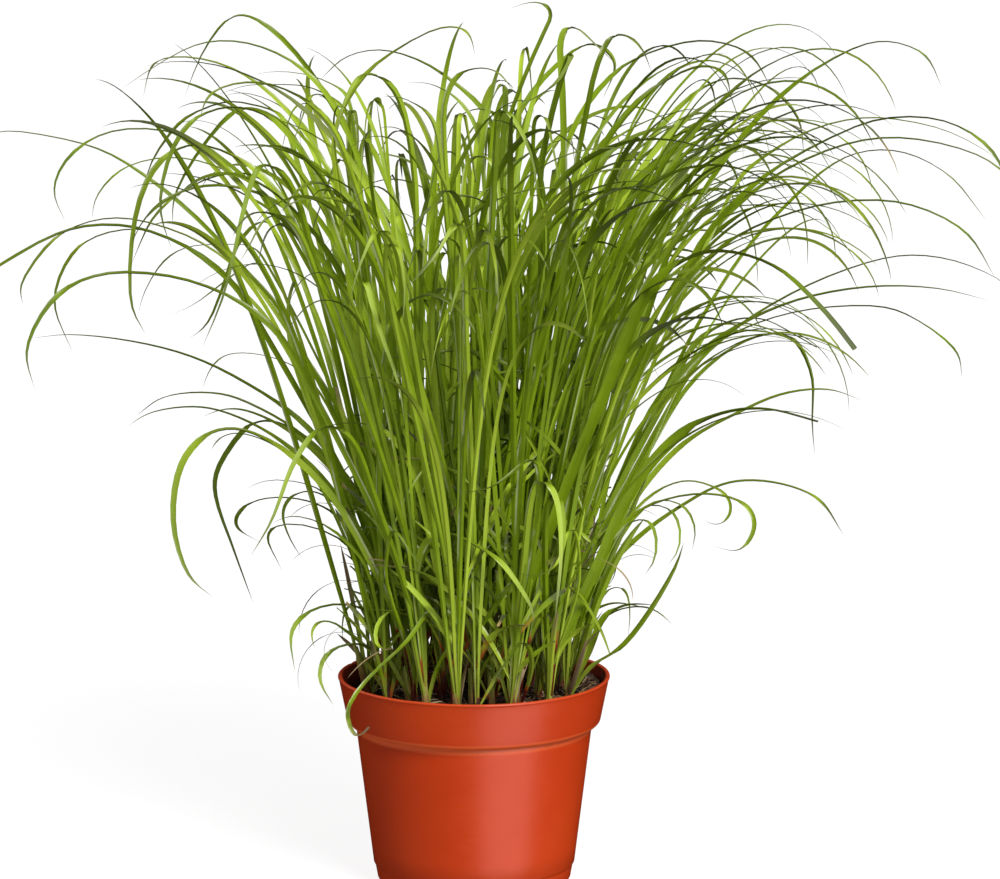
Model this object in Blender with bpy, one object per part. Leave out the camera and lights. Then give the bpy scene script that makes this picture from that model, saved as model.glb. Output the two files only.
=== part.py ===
"""Potted cyperus: a turned nursery pot, a body of peat soil and a tuft of narrow keeled leaves.

The pot and the soil are turned solids. The plant is a tuft of separate shoots, and each shoot is one
solid: a three-sided sheath rooted in a socket in the soil, with the leaves that grow out of it. Some
leaves follow courses read by eye from the photo, and the others rise and arch over by a rule, so the
tuft is full from every side. Metres, +Z up. The origin is the centre of the pot's foot, on the surface
that it stands on, and the front faces -Y.
"""
import math
import random

import bmesh
import bpy
from mathutils import Matrix, Vector
from mathutils.kdtree import KDTree

# Pot
RIM_RADIUS = 0.0600
POT_HEIGHT = 0.0920
POT_WALL = 0.0012
LIP_HEIGHT = 0.0016
LIP_PROUD = 0.0007
LIP_SOFTENING = 0.0004
COLLAR_FOOT_RADIUS = 0.0560
COLLAR_FOOT_Z = 0.0726
SHOULDER_FOOT_Z = 0.0699
SHOULDER_SAG = 0.0005
INNER_SHOULDER_RISE = 0.0006
BODY_TOP_RADIUS = 0.0522
BODY_FOOT_RADIUS = 0.0446
FOOT_BAND_Z = 0.0074
FOOT_STEP = 0.0006
FOOT_RADIUS = 0.0430
FOOT_ROUNDING = 0.0020
FOOT_RING_RADIUS = 0.0375
BASE_RECESS = 0.0016
BASE_THICKNESS = 0.0016
POT_SEGMENTS = 40
POT_CREASE = math.radians(30)

# Soil
SOIL_EDGE_Z = 0.0800
SOIL_CROWN = 0.0040
SOIL_TOP_RADIUS = 0.0560
SOIL_LUMP = 0.00066
SOIL_LUMP_WAVES = (190.0, 160.0, 310.0)
SOIL_SEGMENTS = 24
SOIL_RINGS = (0.74, 0.38)
SOIL_CREASE = math.radians(40)
CLEARANCE = 0.0003
SOIL_WALL_GAP = 0.0004
SOCKET_OVERSHOOT = 0.006

# Shoots
SHOOT_COUNT = 44
ROOT_ZONE_RADIUS = 0.0455
ROOT_JITTER = 0.0012
ROOT_START = 0.6
ROOT_TURN = 0.4
ROOT_DEPTH = 0.0055
SHEATH_RADIUS = 0.0027
SHEATH_TOP_RADIUS = 0.0020
SHEATH_HEIGHTS = (0.013, 0.024)
SHEATH_GUARD_HEIGHT = 0.021
SHEATH_LEAN_SHARE = 0.08
RANK_OFFSET = 0.00065
RANK_HEIGHT = 0.0010
LEAVES_PER_SHOOT = 3

# Leaves
LEAF_WIDTHS = (0.0021, 0.0028)
LEAF_KEEL_DEPTH = 0.0010
LEAF_KEEL_AT_TIP = 0.15
LEAF_FOOT_WIDTH = 0.72
LEAF_WIDE_FROM = 0.18
LEAF_TAPER_FROM = 0.45
LEAF_TAPER_POWER = 1.7
LEAF_TAPER_DEPTH = 0.82
LEAF_GAP = 0.0006
LEAF_CREASE = math.radians(55)
SAMPLE_STEP = 0.002
SEARCH_RADIUS = 0.0055
TURN_PER_SEGMENT = math.radians(34)
LENGTH_PER_SEGMENT = 0.125
SEGMENTS_MIN = 4
SEGMENTS_MAX = 8
CURVE_POINTS = 12
RELAX_ROUNDS = 6

# Room that a leaf keeps: to the rim that it passes over, to the soil and to the table
RIM_PASS_Z = 0.0965
RIM_PASS_RADII = (0.0545, 0.0640)
SOIL_PASS_GAP = 0.004
SOIL_PASS_FROM = 8
TABLE_GAP = 0.010

# Growth habit of the leaves that the photo doesn't single out
HEIGHT_LIMIT = 0.374
REACH_LIMIT = (0.150, 0.218)
OPEN_FOOT = (0.058, 0.092)
OPEN_RISE = 0.20
OPEN_FLARE = (0.45, 0.165)
OPEN_DEPTH_SHARE = 0.68
HEADING_SCATTER = (0.35, 0.80)
LEAN = (math.radians(2), math.radians(12), math.radians(5))
LONG_LEAF = (0.275, 0.350)
FRONT_EXTRA = 0.035
DROOP = (math.radians(80), math.radians(165))
ARCH_POWER = (2.2, 4.6)
EDGE_POWER_LOSS = 0.5
SHORT_LEAF_SHARE = 0.16
SHORT_LEAF = (0.10, 0.19)
SHORT_LEAF_LEAN = math.radians(14)
SHORT_LEAF_POWER = (1.4, 2.2)
SWEEP = 0.7
TRIES = 200
SEED = 24

# The front and back leaves that reach farthest: heading off the view, lean, droop, power and reach
FAR_LEAF = (math.radians(86), math.radians(14), math.radians(122), 2.0)
FAR_REACH = 0.226

# How a leaf that the photo shows is given its shoot and its depth
READ_SLOPE_SHARE = 0.42
READ_ROOT_COLUMNS = (376.0, 572.0)
READ_ROOT_DEPTH_SHARE = 0.30
READ_CROWDING = 0.004
READ_SHOOTS_TRIED = 7
READ_DEPTH_SHIFTS = (0.0, 0.012, -0.012, 0.024, -0.024, 0.036, -0.036)
READ_DEPTH_POWER = 1.3
READ_LIFT = (0.10, 0.10, 0.30)
READ_LIFT_FROM = 0.06

# Camera of the photo, which places a pixel in space once its depth is chosen
PHOTO_CENTRE = (500.0, 439.5)
PHOTO_FOCAL = 4072.0
PHOTO_EYE = Vector((0.0115, -1.755, 0.4908))
PHOTO_PITCH = math.radians(9.51)
PHOTO_SOIL_ROW = 686.0

# Leaves whose course the photo shows: width, depth of the tip behind the pot's axis (negative is
# nearer the viewer) and midline from the tip inwards, in pixels of the photo
LEAF_COURSES = {
    "left_thin_sweep": (0.0018, 0.030, (
        (-68, 148), (0, 131), (40, 134), (100, 149), (150, 179), (200, 221), (245, 270), (280, 310))),
    "left_wisp_hook": (0.0016, -0.080, (
        (66, 223), (53, 190), (70, 155), (110, 131), (165, 130), (205, 146), (245, 178), (275, 206))),
    "left_hanging_thick": (0.0026, -0.060, (
        (146, 335), (131, 305), (133, 230), (147, 180), (170, 152), (200, 143), (250, 165), (290, 215))),
    "left_inner_hook": (0.0022, 0.075, (
        (131, 265), (155, 215), (200, 181), (250, 173), (285, 200), (310, 240))),
    "left_high_fold": (0.0024, 0.020, (
        (173, 230), (174, 197), (205, 143), (243, 107), (280, 122), (306, 160))),
    "left_high_hook": (0.0024, -0.100, (
        (172, 250), (160, 210), (168, 160), (190, 122), (225, 106), (262, 112), (290, 135), (312, 170))),
    "left_low_sweep": (0.0024, -0.035, (
        (-72, 352), (-44, 296), (0, 265), (60, 232), (100, 224), (145, 229), (200, 255), (245, 300))),
    "left_low_hook": (0.0018, 0.085, (
        (23, 305), (20, 285), (60, 234), (115, 217), (180, 232), (225, 258), (265, 296))),
    "left_long_drop": (0.0020, 0.110, (
        (74, 355), (54, 300), (80, 245), (135, 228), (180, 243), (235, 284), (275, 330))),
    "left_wide_arch": (0.0024, -0.110, (
        (35, 390), (26, 350), (55, 297), (100, 274), (160, 274), (210, 287), (255, 312), (290, 350))),
    "left_lowest_sweep": (0.0023, 0.055, (
        (26, 339), (70, 334), (140, 342), (200, 359), (260, 391), (300, 420), (330, 455))),
    "left_pale_hanging": (0.0027, -0.125, (
        (202, 348), (222, 300), (235, 250), (246, 200), (262, 162), (285, 176), (304, 220))),
    "left_top_arch": (0.0022, 0.050, (
        (184, 98), (205, 48), (235, 14), (265, 24), (300, 58), (335, 110), (360, 165))),
    "left_top_sweep": (0.0022, -0.045, (
        (120, 90), (160, 63), (200, 43), (240, 41), (280, 54), (315, 80), (345, 125))),
    "left_top_low_sweep": (0.0019, 0.100, (
        (143, 98), (155, 61), (205, 59), (255, 81), (300, 125), (330, 175))),
    "left_shoulder_arch": (0.0022, -0.150, (
        (200, 118), (208, 95), (240, 82), (280, 86), (320, 112), (345, 155))),
    "crown_left_arch": (0.0022, 0.120, (
        (320, 80), (345, 57), (380, 49), (420, 60), (455, 83), (485, 112), (500, 150))),
    "crown_back_arch": (0.0020, -0.090, (
        (475, 55), (468, 30), (440, 27), (395, 50), (360, 80), (335, 130), (336, 180))),
    "crown_front_hook": (0.0025, -0.060, (
        (330, 165), (343, 105), (362, 73), (380, 75), (398, 95), (410, 140), (416, 200))),
    "crown_middle_arch": (0.0020, 0.070, (
        (402, 83), (430, 83), (460, 101), (478, 132), (484, 180))),
    "crown_right_fold": (0.0022, -0.080, (
        (514, 92), (495, 69), (462, 71), (445, 100), (445, 160), (450, 220))),
    "crown_highest": (0.0020, 0.040, (
        (508, 9), (535, 1), (553, 10), (540, 40), (520, 88), (500, 145), (485, 200))),
    "crown_bent_blade": (0.0026, -0.130, (
        (538, 210), (533, 160), (515, 120), (500, 106), (497, 135), (494, 185))),
    "crown_wide_blade": (0.0028, -0.020, (
        (618, 66), (595, 44), (570, 23), (560, 40), (562, 80), (564, 150))),
    "crown_right_arch": (0.0022, 0.130, (
        (602, 100), (616, 62), (590, 42), (560, 62), (530, 95), (508, 140))),
    "crown_far_right_arch": (0.0022, -0.040, (
        (652, 73), (640, 45), (615, 32), (597, 65), (585, 120), (574, 180))),
    "right_top_sweep": (0.0022, 0.070, (
        (773, 92), (750, 54), (707, 40), (660, 48), (620, 68), (580, 115), (560, 170))),
    "right_top_arch": (0.0025, -0.095, (
        (731, 98), (725, 72), (700, 65), (660, 83), (625, 115), (595, 160), (575, 210))),
    "right_shoulder_arch": (0.0024, 0.110, (
        (804, 158), (798, 117), (764, 84), (716, 80), (663, 124), (630, 175), (606, 230))),
    "right_high_sweep": (0.0020, -0.050, (
        (942, 88), (925, 54), (883, 40), (842, 53), (787, 90), (743, 135), (700, 197), (665, 262))),
    "right_deep_arch": (0.0018, 0.085, (
        (988, 223), (948, 174), (895, 150), (842, 158), (778, 213), (739, 259), (693, 333), (660, 400))),
    "right_far_sweep": (0.0023, -0.085, (
        (1019, 226), (1010, 189), (991, 149), (945, 120), (881, 118), (824, 140), (770, 172), (725, 212),
        (690, 262))),
    "right_far_low_sweep": (0.0020, 0.035, (
        (1022, 200), (1010, 178), (977, 154), (913, 138), (860, 140), (801, 161), (750, 194), (708, 240))),
    "right_middle_sweep": (0.0020, -0.120, (
        (995, 278), (966, 232), (906, 203), (840, 201), (782, 215), (735, 237), (695, 272), (662, 320))),
    "right_level_sweep": (0.0020, 0.060, (
        (1008, 288), (1000, 279), (950, 259), (899, 255), (840, 271), (782, 298), (732, 331), (690, 372))),
    "right_low_level": (0.0024, -0.030, (
        (991, 301), (938, 288), (870, 286), (801, 298), (746, 321), (702, 352), (668, 395))),
    "right_drop_arch": (0.0020, 0.060, (
        (962, 379), (957, 351), (901, 311), (850, 305), (779, 315), (715, 343), (668, 385), (640, 430))),
    "right_blunt_blade": (0.0028, -0.110, (
        (855, 349), (824, 310), (773, 264), (720, 249), (680, 260), (648, 292), (624, 345))),
    "right_hanging": (0.0020, 0.095, (
        (815, 457), (812, 422), (812, 375), (791, 336), (760, 335), (720, 356), (685, 390), (655, 440))),
    "right_side_sweep": (0.0023, 0.020, (
        (863, 401), (830, 389), (784, 393), (743, 410), (684, 443), (638, 494), (612, 545))),
    "right_side_blade": (0.0028, -0.070, (
        (818, 421), (768, 408), (728, 410), (692, 425), (651, 463), (620, 512), (600, 560))),
    "right_low_sweep": (0.0022, 0.045, (
        (844, 536), (819, 499), (776, 482), (728, 482), (684, 504), (638, 537), (604, 575))),
    "right_curl": (0.0020, -0.060, (
        (711, 545), (740, 551), (756, 524), (743, 502), (702, 493), (651, 504), (618, 530))),
    "right_rim_leaf": (0.0022, -0.050, (
        (684, 542), (675, 568), (645, 618), (618, 650), (590, 666))),
    "right_short_curl": (0.0020, 0.030, (
        (673, 625), (651, 607), (620, 608), (598, 622))),
    "left_side_sweep": (0.0022, -0.020, (
        (127, 427), (150, 412), (200, 406), (240, 417), (280, 440), (320, 475), (350, 520))),
    "left_side_high_sweep": (0.0022, 0.090, (
        (135, 417), (165, 396), (220, 393), (260, 408), (300, 433), (335, 470), (362, 520))),
    "left_big_drop": (0.0028, -0.080, (
        (214, 598), (188, 575), (173, 520), (182, 462), (212, 431), (248, 430), (300, 462), (345, 515))),
    "left_second_drop": (0.0022, 0.050, (
        (254, 605), (235, 553), (214, 485), (230, 447), (258, 420), (292, 428), (330, 462), (360, 515))),
    "left_upright_drop": (0.0025, -0.120, (
        (250, 557), (272, 520), (295, 460), (325, 424), (352, 440), (372, 490))),
    "left_curl": (0.0018, 0.070, (
        (270, 547), (234, 525), (250, 502), (290, 497), (330, 510), (360, 545))),
    "left_low_curl": (0.0020, -0.045, (
        (295, 672), (291, 630), (315, 608), (350, 604), (376, 618))),
    "left_rim_hook": (0.0020, -0.032, (
        (334, 706), (319, 680), (325, 655), (350, 643), (376, 650))),
    "front_rim_leaf": (0.0024, -0.060, (
        (366, 729), (352, 732), (346, 711), (356, 692), (380, 666), (409, 640), (438, 602))),
    "front_left_bend": (0.0026, -0.150, (
        (350, 300), (361, 262), (380, 227), (397, 250), (405, 300))),
    "front_middle_bend": (0.0024, -0.140, (
        (407, 288), (436, 256), (458, 219), (464, 260), (466, 330))),
    "front_wide_hanging": (0.0028, -0.110, (
        (555, 621), (561, 560), (556, 495), (540, 478), (531, 500), (524, 560))),
    "front_level_leaf": (0.0022, -0.100, (
        (300, 435), (346, 422), (385, 430), (412, 470), (428, 530))),
}


def clear_scene():
    """Remove whatever the file holds, so the part stands alone."""
    for item in list(bpy.data.objects):
        bpy.data.objects.remove(item, do_unlink=True)


def make_material(name, colour, roughness, metallic=0.0):
    """A plain Principled material."""
    material = bpy.data.materials.new(name)
    material.use_nodes = True
    shader = material.node_tree.nodes["Principled BSDF"]
    shader.inputs["Base Color"].default_value = (*colour, 1.0)
    shader.inputs["Roughness"].default_value = roughness
    shader.inputs["Metallic"].default_value = metallic
    return material


def add_object(name, bm, material=None):
    """Turn a bmesh into a named object in the scene."""
    mesh = bpy.data.meshes.new(name)
    bm.to_mesh(mesh)
    bm.free()
    item = bpy.data.objects.new(name, mesh)
    bpy.context.scene.collection.objects.link(item)
    if material:
        mesh.materials.append(material)
    return item


def turned_mesh(profile, segments):
    """Spin a profile of (radius, height) points about Z. Its ends lie on the axis, so it closes."""
    bm = bmesh.new()
    verts = [bm.verts.new((radius, 0.0, height)) for radius, height in profile]
    edges = [bm.edges.new(pair) for pair in zip(verts, verts[1:])]
    bmesh.ops.spin(bm, geom=verts + edges, cent=(0, 0, 0), axis=(0, 0, 1),
                   angle=2 * math.pi, steps=segments, use_merge=False)
    bmesh.ops.remove_doubles(bm, verts=bm.verts, dist=0.00001)
    bmesh.ops.recalc_face_normals(bm, faces=bm.faces)
    return bm


def inner_radius(z):
    """Radius of the pot's inner wall at a height above its floor."""
    if z >= COLLAR_FOOT_Z:
        share = (z - COLLAR_FOOT_Z) / (POT_HEIGHT - COLLAR_FOOT_Z)
        return COLLAR_FOOT_RADIUS + share * (RIM_RADIUS - LIP_PROUD - COLLAR_FOOT_RADIUS) - POT_WALL
    share = (z - FOOT_BAND_Z) / (SHOULDER_FOOT_Z - FOOT_BAND_Z)
    return BODY_FOOT_RADIUS + min(share, 1.0) * (BODY_TOP_RADIUS - BODY_FOOT_RADIUS) - POT_WALL


def floor_height():
    """Height of the pot's inner floor."""
    return BASE_RECESS + BASE_THICKNESS


def make_pot(material):
    """The pot: lip, collar, shoulder, tapered body and foot band outside, stepped wall inside."""
    collar_top_radius = RIM_RADIUS - LIP_PROUD
    lip_foot_z = POT_HEIGHT - LIP_HEIGHT
    foot_corner = FOOT_ROUNDING * (1 - math.sqrt(0.5))
    shoulder = ((BODY_TOP_RADIUS + COLLAR_FOOT_RADIUS) / 2,
                (COLLAR_FOOT_Z + SHOULDER_FOOT_Z) / 2 - SHOULDER_SAG)
    profile = (
        (0.0, BASE_RECESS),
        (FOOT_RING_RADIUS, BASE_RECESS),
        (FOOT_RING_RADIUS + BASE_RECESS / 2, 0.0),
        (FOOT_RADIUS - FOOT_ROUNDING, 0.0),
        (FOOT_RADIUS - foot_corner, foot_corner),
        (FOOT_RADIUS, FOOT_ROUNDING),
        (BODY_FOOT_RADIUS - FOOT_STEP, FOOT_BAND_Z),
        (BODY_FOOT_RADIUS, FOOT_BAND_Z + FOOT_STEP),
        (BODY_TOP_RADIUS, SHOULDER_FOOT_Z),
        shoulder,
        (COLLAR_FOOT_RADIUS, COLLAR_FOOT_Z),
        (collar_top_radius, lip_foot_z),
        (RIM_RADIUS, (lip_foot_z + POT_HEIGHT) / 2),
        (RIM_RADIUS - LIP_SOFTENING, POT_HEIGHT),
        (collar_top_radius - POT_WALL, POT_HEIGHT),
        (inner_radius(COLLAR_FOOT_Z), COLLAR_FOOT_Z + INNER_SHOULDER_RISE),
        (inner_radius(SHOULDER_FOOT_Z), SHOULDER_FOOT_Z + INNER_SHOULDER_RISE),
        (inner_radius(floor_height()), floor_height()),
        (0.0, floor_height()),
    )
    pot = add_object("pot", turned_mesh(profile, POT_SEGMENTS), material)
    pot.data.shade_smooth()
    pot.data.set_sharp_from_angle(angle=POT_CREASE)
    return pot


def outward_turn(root):
    """The turn about Z that points a three-sided sheath away from the pot's axis."""
    return Matrix.Rotation(math.atan2(root.y, root.x), 4, "Z")


def soil_height(x, y):
    """Height of the lumpy soil top, a low mound with its edge under the rim."""
    mound = SOIL_CROWN * max(0.0, 1.0 - (math.hypot(x, y) / SOIL_TOP_RADIUS) ** 2)
    along, across, fine = SOIL_LUMP_WAVES
    lumps = math.sin(x * along + 1.3) * math.cos(y * across - 0.4) + 0.6 * math.sin((x + y) * fine)
    return SOIL_EDGE_Z + mound + SOIL_LUMP * lumps


def make_soil(material, roots):
    """The soil body: it fills the pot, and has a socket for the sheath of each shoot."""
    floor = floor_height() + CLEARANCE
    edge = inner_radius(SOIL_EDGE_Z) - SOIL_WALL_GAP
    rise = INNER_SHOULDER_RISE + CLEARANCE
    profile = [
        (0.0, floor),
        (inner_radius(floor) - SOIL_WALL_GAP - CLEARANCE, floor),
        (inner_radius(SHOULDER_FOOT_Z) - SOIL_WALL_GAP, SHOULDER_FOOT_Z + rise),
        (inner_radius(COLLAR_FOOT_Z) - SOIL_WALL_GAP - CLEARANCE, COLLAR_FOOT_Z + rise),
        (edge, SOIL_EDGE_Z),
    ]
    profile += [(edge * share, SOIL_EDGE_Z) for share in SOIL_RINGS + (0.0,)]
    bm = turned_mesh(profile, SOIL_SEGMENTS)
    for vert in bm.verts:
        if vert.co.z > SOIL_EDGE_Z - CLEARANCE:
            vert.co.z = soil_height(vert.co.x, vert.co.y)
    bmesh.ops.triangulate(bm, faces=bm.faces)
    soil = add_object("soil", bm, material)

    sockets = bmesh.new()
    socket_radius = SHEATH_RADIUS + 2 * CLEARANCE
    low, high = -ROOT_DEPTH - CLEARANCE, SOCKET_OVERSHOOT
    for root in roots:
        place = Matrix.Translation(root + Vector((0.0, 0.0, (low + high) / 2)))
        bmesh.ops.create_cone(sockets, segments=3, radius1=socket_radius, radius2=socket_radius,
                              depth=high - low, cap_ends=True, matrix=place @ outward_turn(root))
    cut_away(soil, add_object("soil_sockets", sockets))
    soil.data.shade_smooth()
    soil.data.set_sharp_from_angle(angle=SOIL_CREASE)
    return soil


def settle_boolean(target, tool, operation):
    """Run a Boolean on the target, keep its result as the target's own mesh and drop the tool."""
    modifier = target.modifiers.new(operation.lower(), "BOOLEAN")
    modifier.operation = operation
    modifier.solver = "EXACT"
    modifier.object = tool
    depsgraph = bpy.context.evaluated_depsgraph_get()
    result = bpy.data.meshes.new_from_object(target.evaluated_get(depsgraph))
    target.modifiers.remove(modifier)
    old = target.data
    target.data = result
    result.name = old.name
    bpy.data.meshes.remove(old)
    bpy.data.objects.remove(tool, do_unlink=True)


def cut_away(target, tool):
    """Cut the tool's shape out of the target."""
    settle_boolean(target, tool, "DIFFERENCE")


def fuse(target, tool):
    """Grow the tool's shape onto the target."""
    settle_boolean(target, tool, "UNION")


def root_points(rng):
    """Where the shoots stand, spread over the soil like seeds on a head."""
    golden = math.pi * (3 - math.sqrt(5))
    roots = []
    for number in range(SHOOT_COUNT):
        radius = ROOT_ZONE_RADIUS * math.sqrt((number + ROOT_START) / SHOOT_COUNT)
        angle = number * golden + ROOT_TURN
        x = radius * math.cos(angle) + rng.uniform(-ROOT_JITTER, ROOT_JITTER)
        y = radius * math.sin(angle) + rng.uniform(-ROOT_JITTER, ROOT_JITTER)
        roots.append(Vector((x, y, soil_height(x, y))))
    return roots


def from_photo(px, py, depth):
    """The point at a depth behind the pot's axis that the photo shows at a pixel."""
    right = (px - PHOTO_CENTRE[0]) / PHOTO_FOCAL
    up = (PHOTO_CENTRE[1] - py) / PHOTO_FOCAL
    ray = Vector((right, math.cos(PHOTO_PITCH) + up * math.sin(PHOTO_PITCH),
                  up * math.cos(PHOTO_PITCH) - math.sin(PHOTO_PITCH)))
    return PHOTO_EYE + ray * ((depth - PHOTO_EYE.y) / ray.y)


def to_photo(point):
    """The pixel at which the photo shows a point."""
    ray = point - PHOTO_EYE
    ahead = ray.y * math.cos(PHOTO_PITCH) - ray.z * math.sin(PHOTO_PITCH)
    above = ray.y * math.sin(PHOTO_PITCH) + ray.z * math.cos(PHOTO_PITCH)
    return PHOTO_CENTRE[0] + PHOTO_FOCAL * ray.x / ahead, PHOTO_CENTRE[1] - PHOTO_FOCAL * above / ahead


def even_course(points, step):
    """Points at an even step along a polyline, with both of its ends."""
    lengths = [(b - a).length for a, b in zip(points, points[1:])]
    total = sum(lengths)
    count = max(2, round(total / step))
    course = []
    index = 0
    passed = 0.0
    for number in range(count):
        goal = total * number / count
        while index < len(lengths) - 1 and passed + lengths[index] < goal:
            passed += lengths[index]
            index += 1
        share = (goal - passed) / max(lengths[index], 1e-9)
        course.append(points[index].lerp(points[index + 1], min(share, 1.0)))
    course.append(points[-1].copy())
    return course


def smooth_course(points, step):
    """A smooth course through points chosen by eye: a Catmull-Rom curve, evened out and relaxed."""
    ends = [2 * points[0] - points[1]] + points + [2 * points[-1] - points[-2]]
    dense = []
    for a, b, c, d in zip(ends, ends[1:], ends[2:], ends[3:]):
        span = (c - b).length
        out_of = (c - a) * (span / max((c - b).length + (b - a).length, 1e-9))
        into = (d - b) * (span / max((d - c).length + (c - b).length, 1e-9))
        for number in range(CURVE_POINTS):
            t = number / CURVE_POINTS
            dense.append((2 * t ** 3 - 3 * t ** 2 + 1) * b + (t ** 3 - 2 * t ** 2 + t) * out_of
                         + (3 * t ** 2 - 2 * t ** 3) * c + (t ** 3 - t ** 2) * into)
    dense.append(points[-1].copy())
    course = even_course(dense, step)
    for _ in range(RELAX_ROUNDS):
        inner = [(a + 2 * b + c) / 4 for a, b, c in zip(course, course[1:], course[2:])]
        course = [course[0]] + inner + [course[-1]]
    return even_course(course, step)


def read_course(root, tip_depth, pixels):
    """A leaf's course from its root, through the pixels that the photo shows, to its tip. A leaf that
    is first seen far from its root rises steeply before it leans."""
    steps = list(reversed(pixels))
    foot = to_photo(root)
    lengths = [math.dist(a, b) for a, b in zip([foot] + steps, steps)]
    total = sum(lengths)
    points = [root.copy()]
    passed = 0.0
    for pixel, length in zip(steps, lengths):
        passed += length
        share = (passed / total) ** READ_DEPTH_POWER
        points.append(from_photo(*pixel, root.y + (tip_depth - root.y) * share))
    gap = points[1] - root
    if gap.length > READ_LIFT_FROM:
        points.insert(1, root + gap * Vector(READ_LIFT))
    return smooth_course(points, SAMPLE_STEP)


def arching_course(root, heading, lean, length, droop, power, sweep):
    """A leaf that rises nearly straight and arches over: its angle from upright grows towards the
    tip as a power of the way along it, and its heading turns by the sweep."""
    count = max(8, round(length / SAMPLE_STEP))
    course = [root.copy()]
    for number in range(count):
        share = (number + 0.5) / count
        tilt = lean + (droop - lean) * share ** power
        turn = heading + sweep * share ** 2
        step = Vector((math.sin(tilt) * math.cos(turn), math.sin(tilt) * math.sin(turn), math.cos(tilt)))
        course.append(course[-1] + step * (length / count))
    return course


def leaf_half_width(width, share):
    """Half a leaf's width at a share of its length: narrow in the sheath, widest low, a fine tip."""
    foot = LEAF_FOOT_WIDTH + (1.0 - LEAF_FOOT_WIDTH) * min(share / LEAF_WIDE_FROM, 1.0)
    beyond = max(0.0, (share - LEAF_TAPER_FROM) / (1.0 - LEAF_TAPER_FROM))
    return width / 2 * foot * (1.0 - LEAF_TAPER_DEPTH * beyond ** LEAF_TAPER_POWER)


def stations(course):
    """Shares of a course at which the leaf's solid bends, closer together where it turns more."""
    steps = [b - a for a, b in zip(course, course[1:])]
    measure = [0.0]
    for number, step in enumerate(steps):
        turn = steps[number - 1].angle(step) if number else 0.0
        measure.append(measure[-1] + turn / TURN_PER_SEGMENT + step.length / LENGTH_PER_SEGMENT)
    count = min(max(math.ceil(measure[-1]), SEGMENTS_MIN), SEGMENTS_MAX)
    marks = []
    index = 0
    for number in range(count + 1):
        goal = measure[-1] * number / count
        while index < len(measure) - 2 and measure[index + 1] < goal:
            index += 1
        part = (goal - measure[index]) / max(measure[index + 1] - measure[index], 1e-12)
        marks.append((index + min(part, 1.0)) / len(steps))
    return marks


def point_at(course, share):
    """The point of a course at a share of its length."""
    place = share * (len(course) - 1)
    index = min(int(place), len(course) - 2)
    return course[index].lerp(course[index + 1], place - index)


class Tuft:
    """The leaves placed so far, and how close a new one may come to those of other shoots."""

    def __init__(self, roots):
        self.roots = roots
        self.leaves = [[] for _ in roots]
        self.points = []
        for shoot, root in enumerate(roots):
            for point in even_course([root, root + Vector((0.0, 0.0, SHEATH_GUARD_HEIGHT))], SAMPLE_STEP):
                self.points.append((point, SHEATH_RADIUS, shoot))
        self.grow_tree()

    def grow_tree(self):
        """Sort the points for the search."""
        self.tree = KDTree(len(self.points))
        for number, (point, _, _) in enumerate(self.points):
            self.tree.insert(point, number)
        self.tree.balance()

    def samples(self, course, width):
        """Points along the leaf's faceted solid, each with its half width."""
        line = even_course([point_at(course, mark) for mark in stations(course)], SAMPLE_STEP)
        return [(point, leaf_half_width(width, number / (len(line) - 1)))
                for number, point in enumerate(line)]

    def room(self, shoot, samples):
        """The narrowest gap to the leaves of the other shoots, no more than the search radius."""
        gap = SEARCH_RADIUS
        for point, half in samples:
            for _, number, distance in self.tree.find_range(point, SEARCH_RADIUS):
                other = self.points[number]
                if other[2] != shoot:
                    gap = min(gap, distance - half - other[1])
        return gap

    def add(self, shoot, course, width, samples):
        """Grow a leaf on a shoot."""
        self.leaves[shoot].append((course, width))
        self.points += [(point, half, shoot) for point, half in samples]
        self.grow_tree()


def clear_of_pot(course):
    """Whether a leaf passes over the rim or hangs outside it, and stays off the soil and the table."""
    for number, point in enumerate(course):
        radius = math.hypot(point.x, point.y)
        if point.z > RIM_PASS_Z:
            continue
        if RIM_PASS_RADII[0] < radius < RIM_PASS_RADII[1]:
            return False
        soil_gap = point.z - soil_height(point.x, point.y)
        if radius <= RIM_PASS_RADII[0] and number > SOIL_PASS_FROM and soil_gap < SOIL_PASS_GAP:
            return False
        if point.z < TABLE_GAP:
            return False
    return True


def spread_limit(z):
    """How far from the axis the tuft spreads at a height: narrow above the pot, flaring to the crown."""
    return OPEN_FOOT[0] + OPEN_RISE * (z - OPEN_FOOT[1]) + OPEN_FLARE[0] * max(0.0, z - OPEN_FLARE[1])


def inside_reach(course):
    """Whether a leaf stays within the reach of those that the photo doesn't single out, and out of
    the open space low around the tuft."""
    return all(abs(point.x) < REACH_LIMIT[0] and abs(point.y) < REACH_LIMIT[1]
               and point.z < HEIGHT_LIMIT
               and math.hypot(point.x, OPEN_DEPTH_SHARE * point.y) < spread_limit(point.z)
               for point in course)


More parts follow.
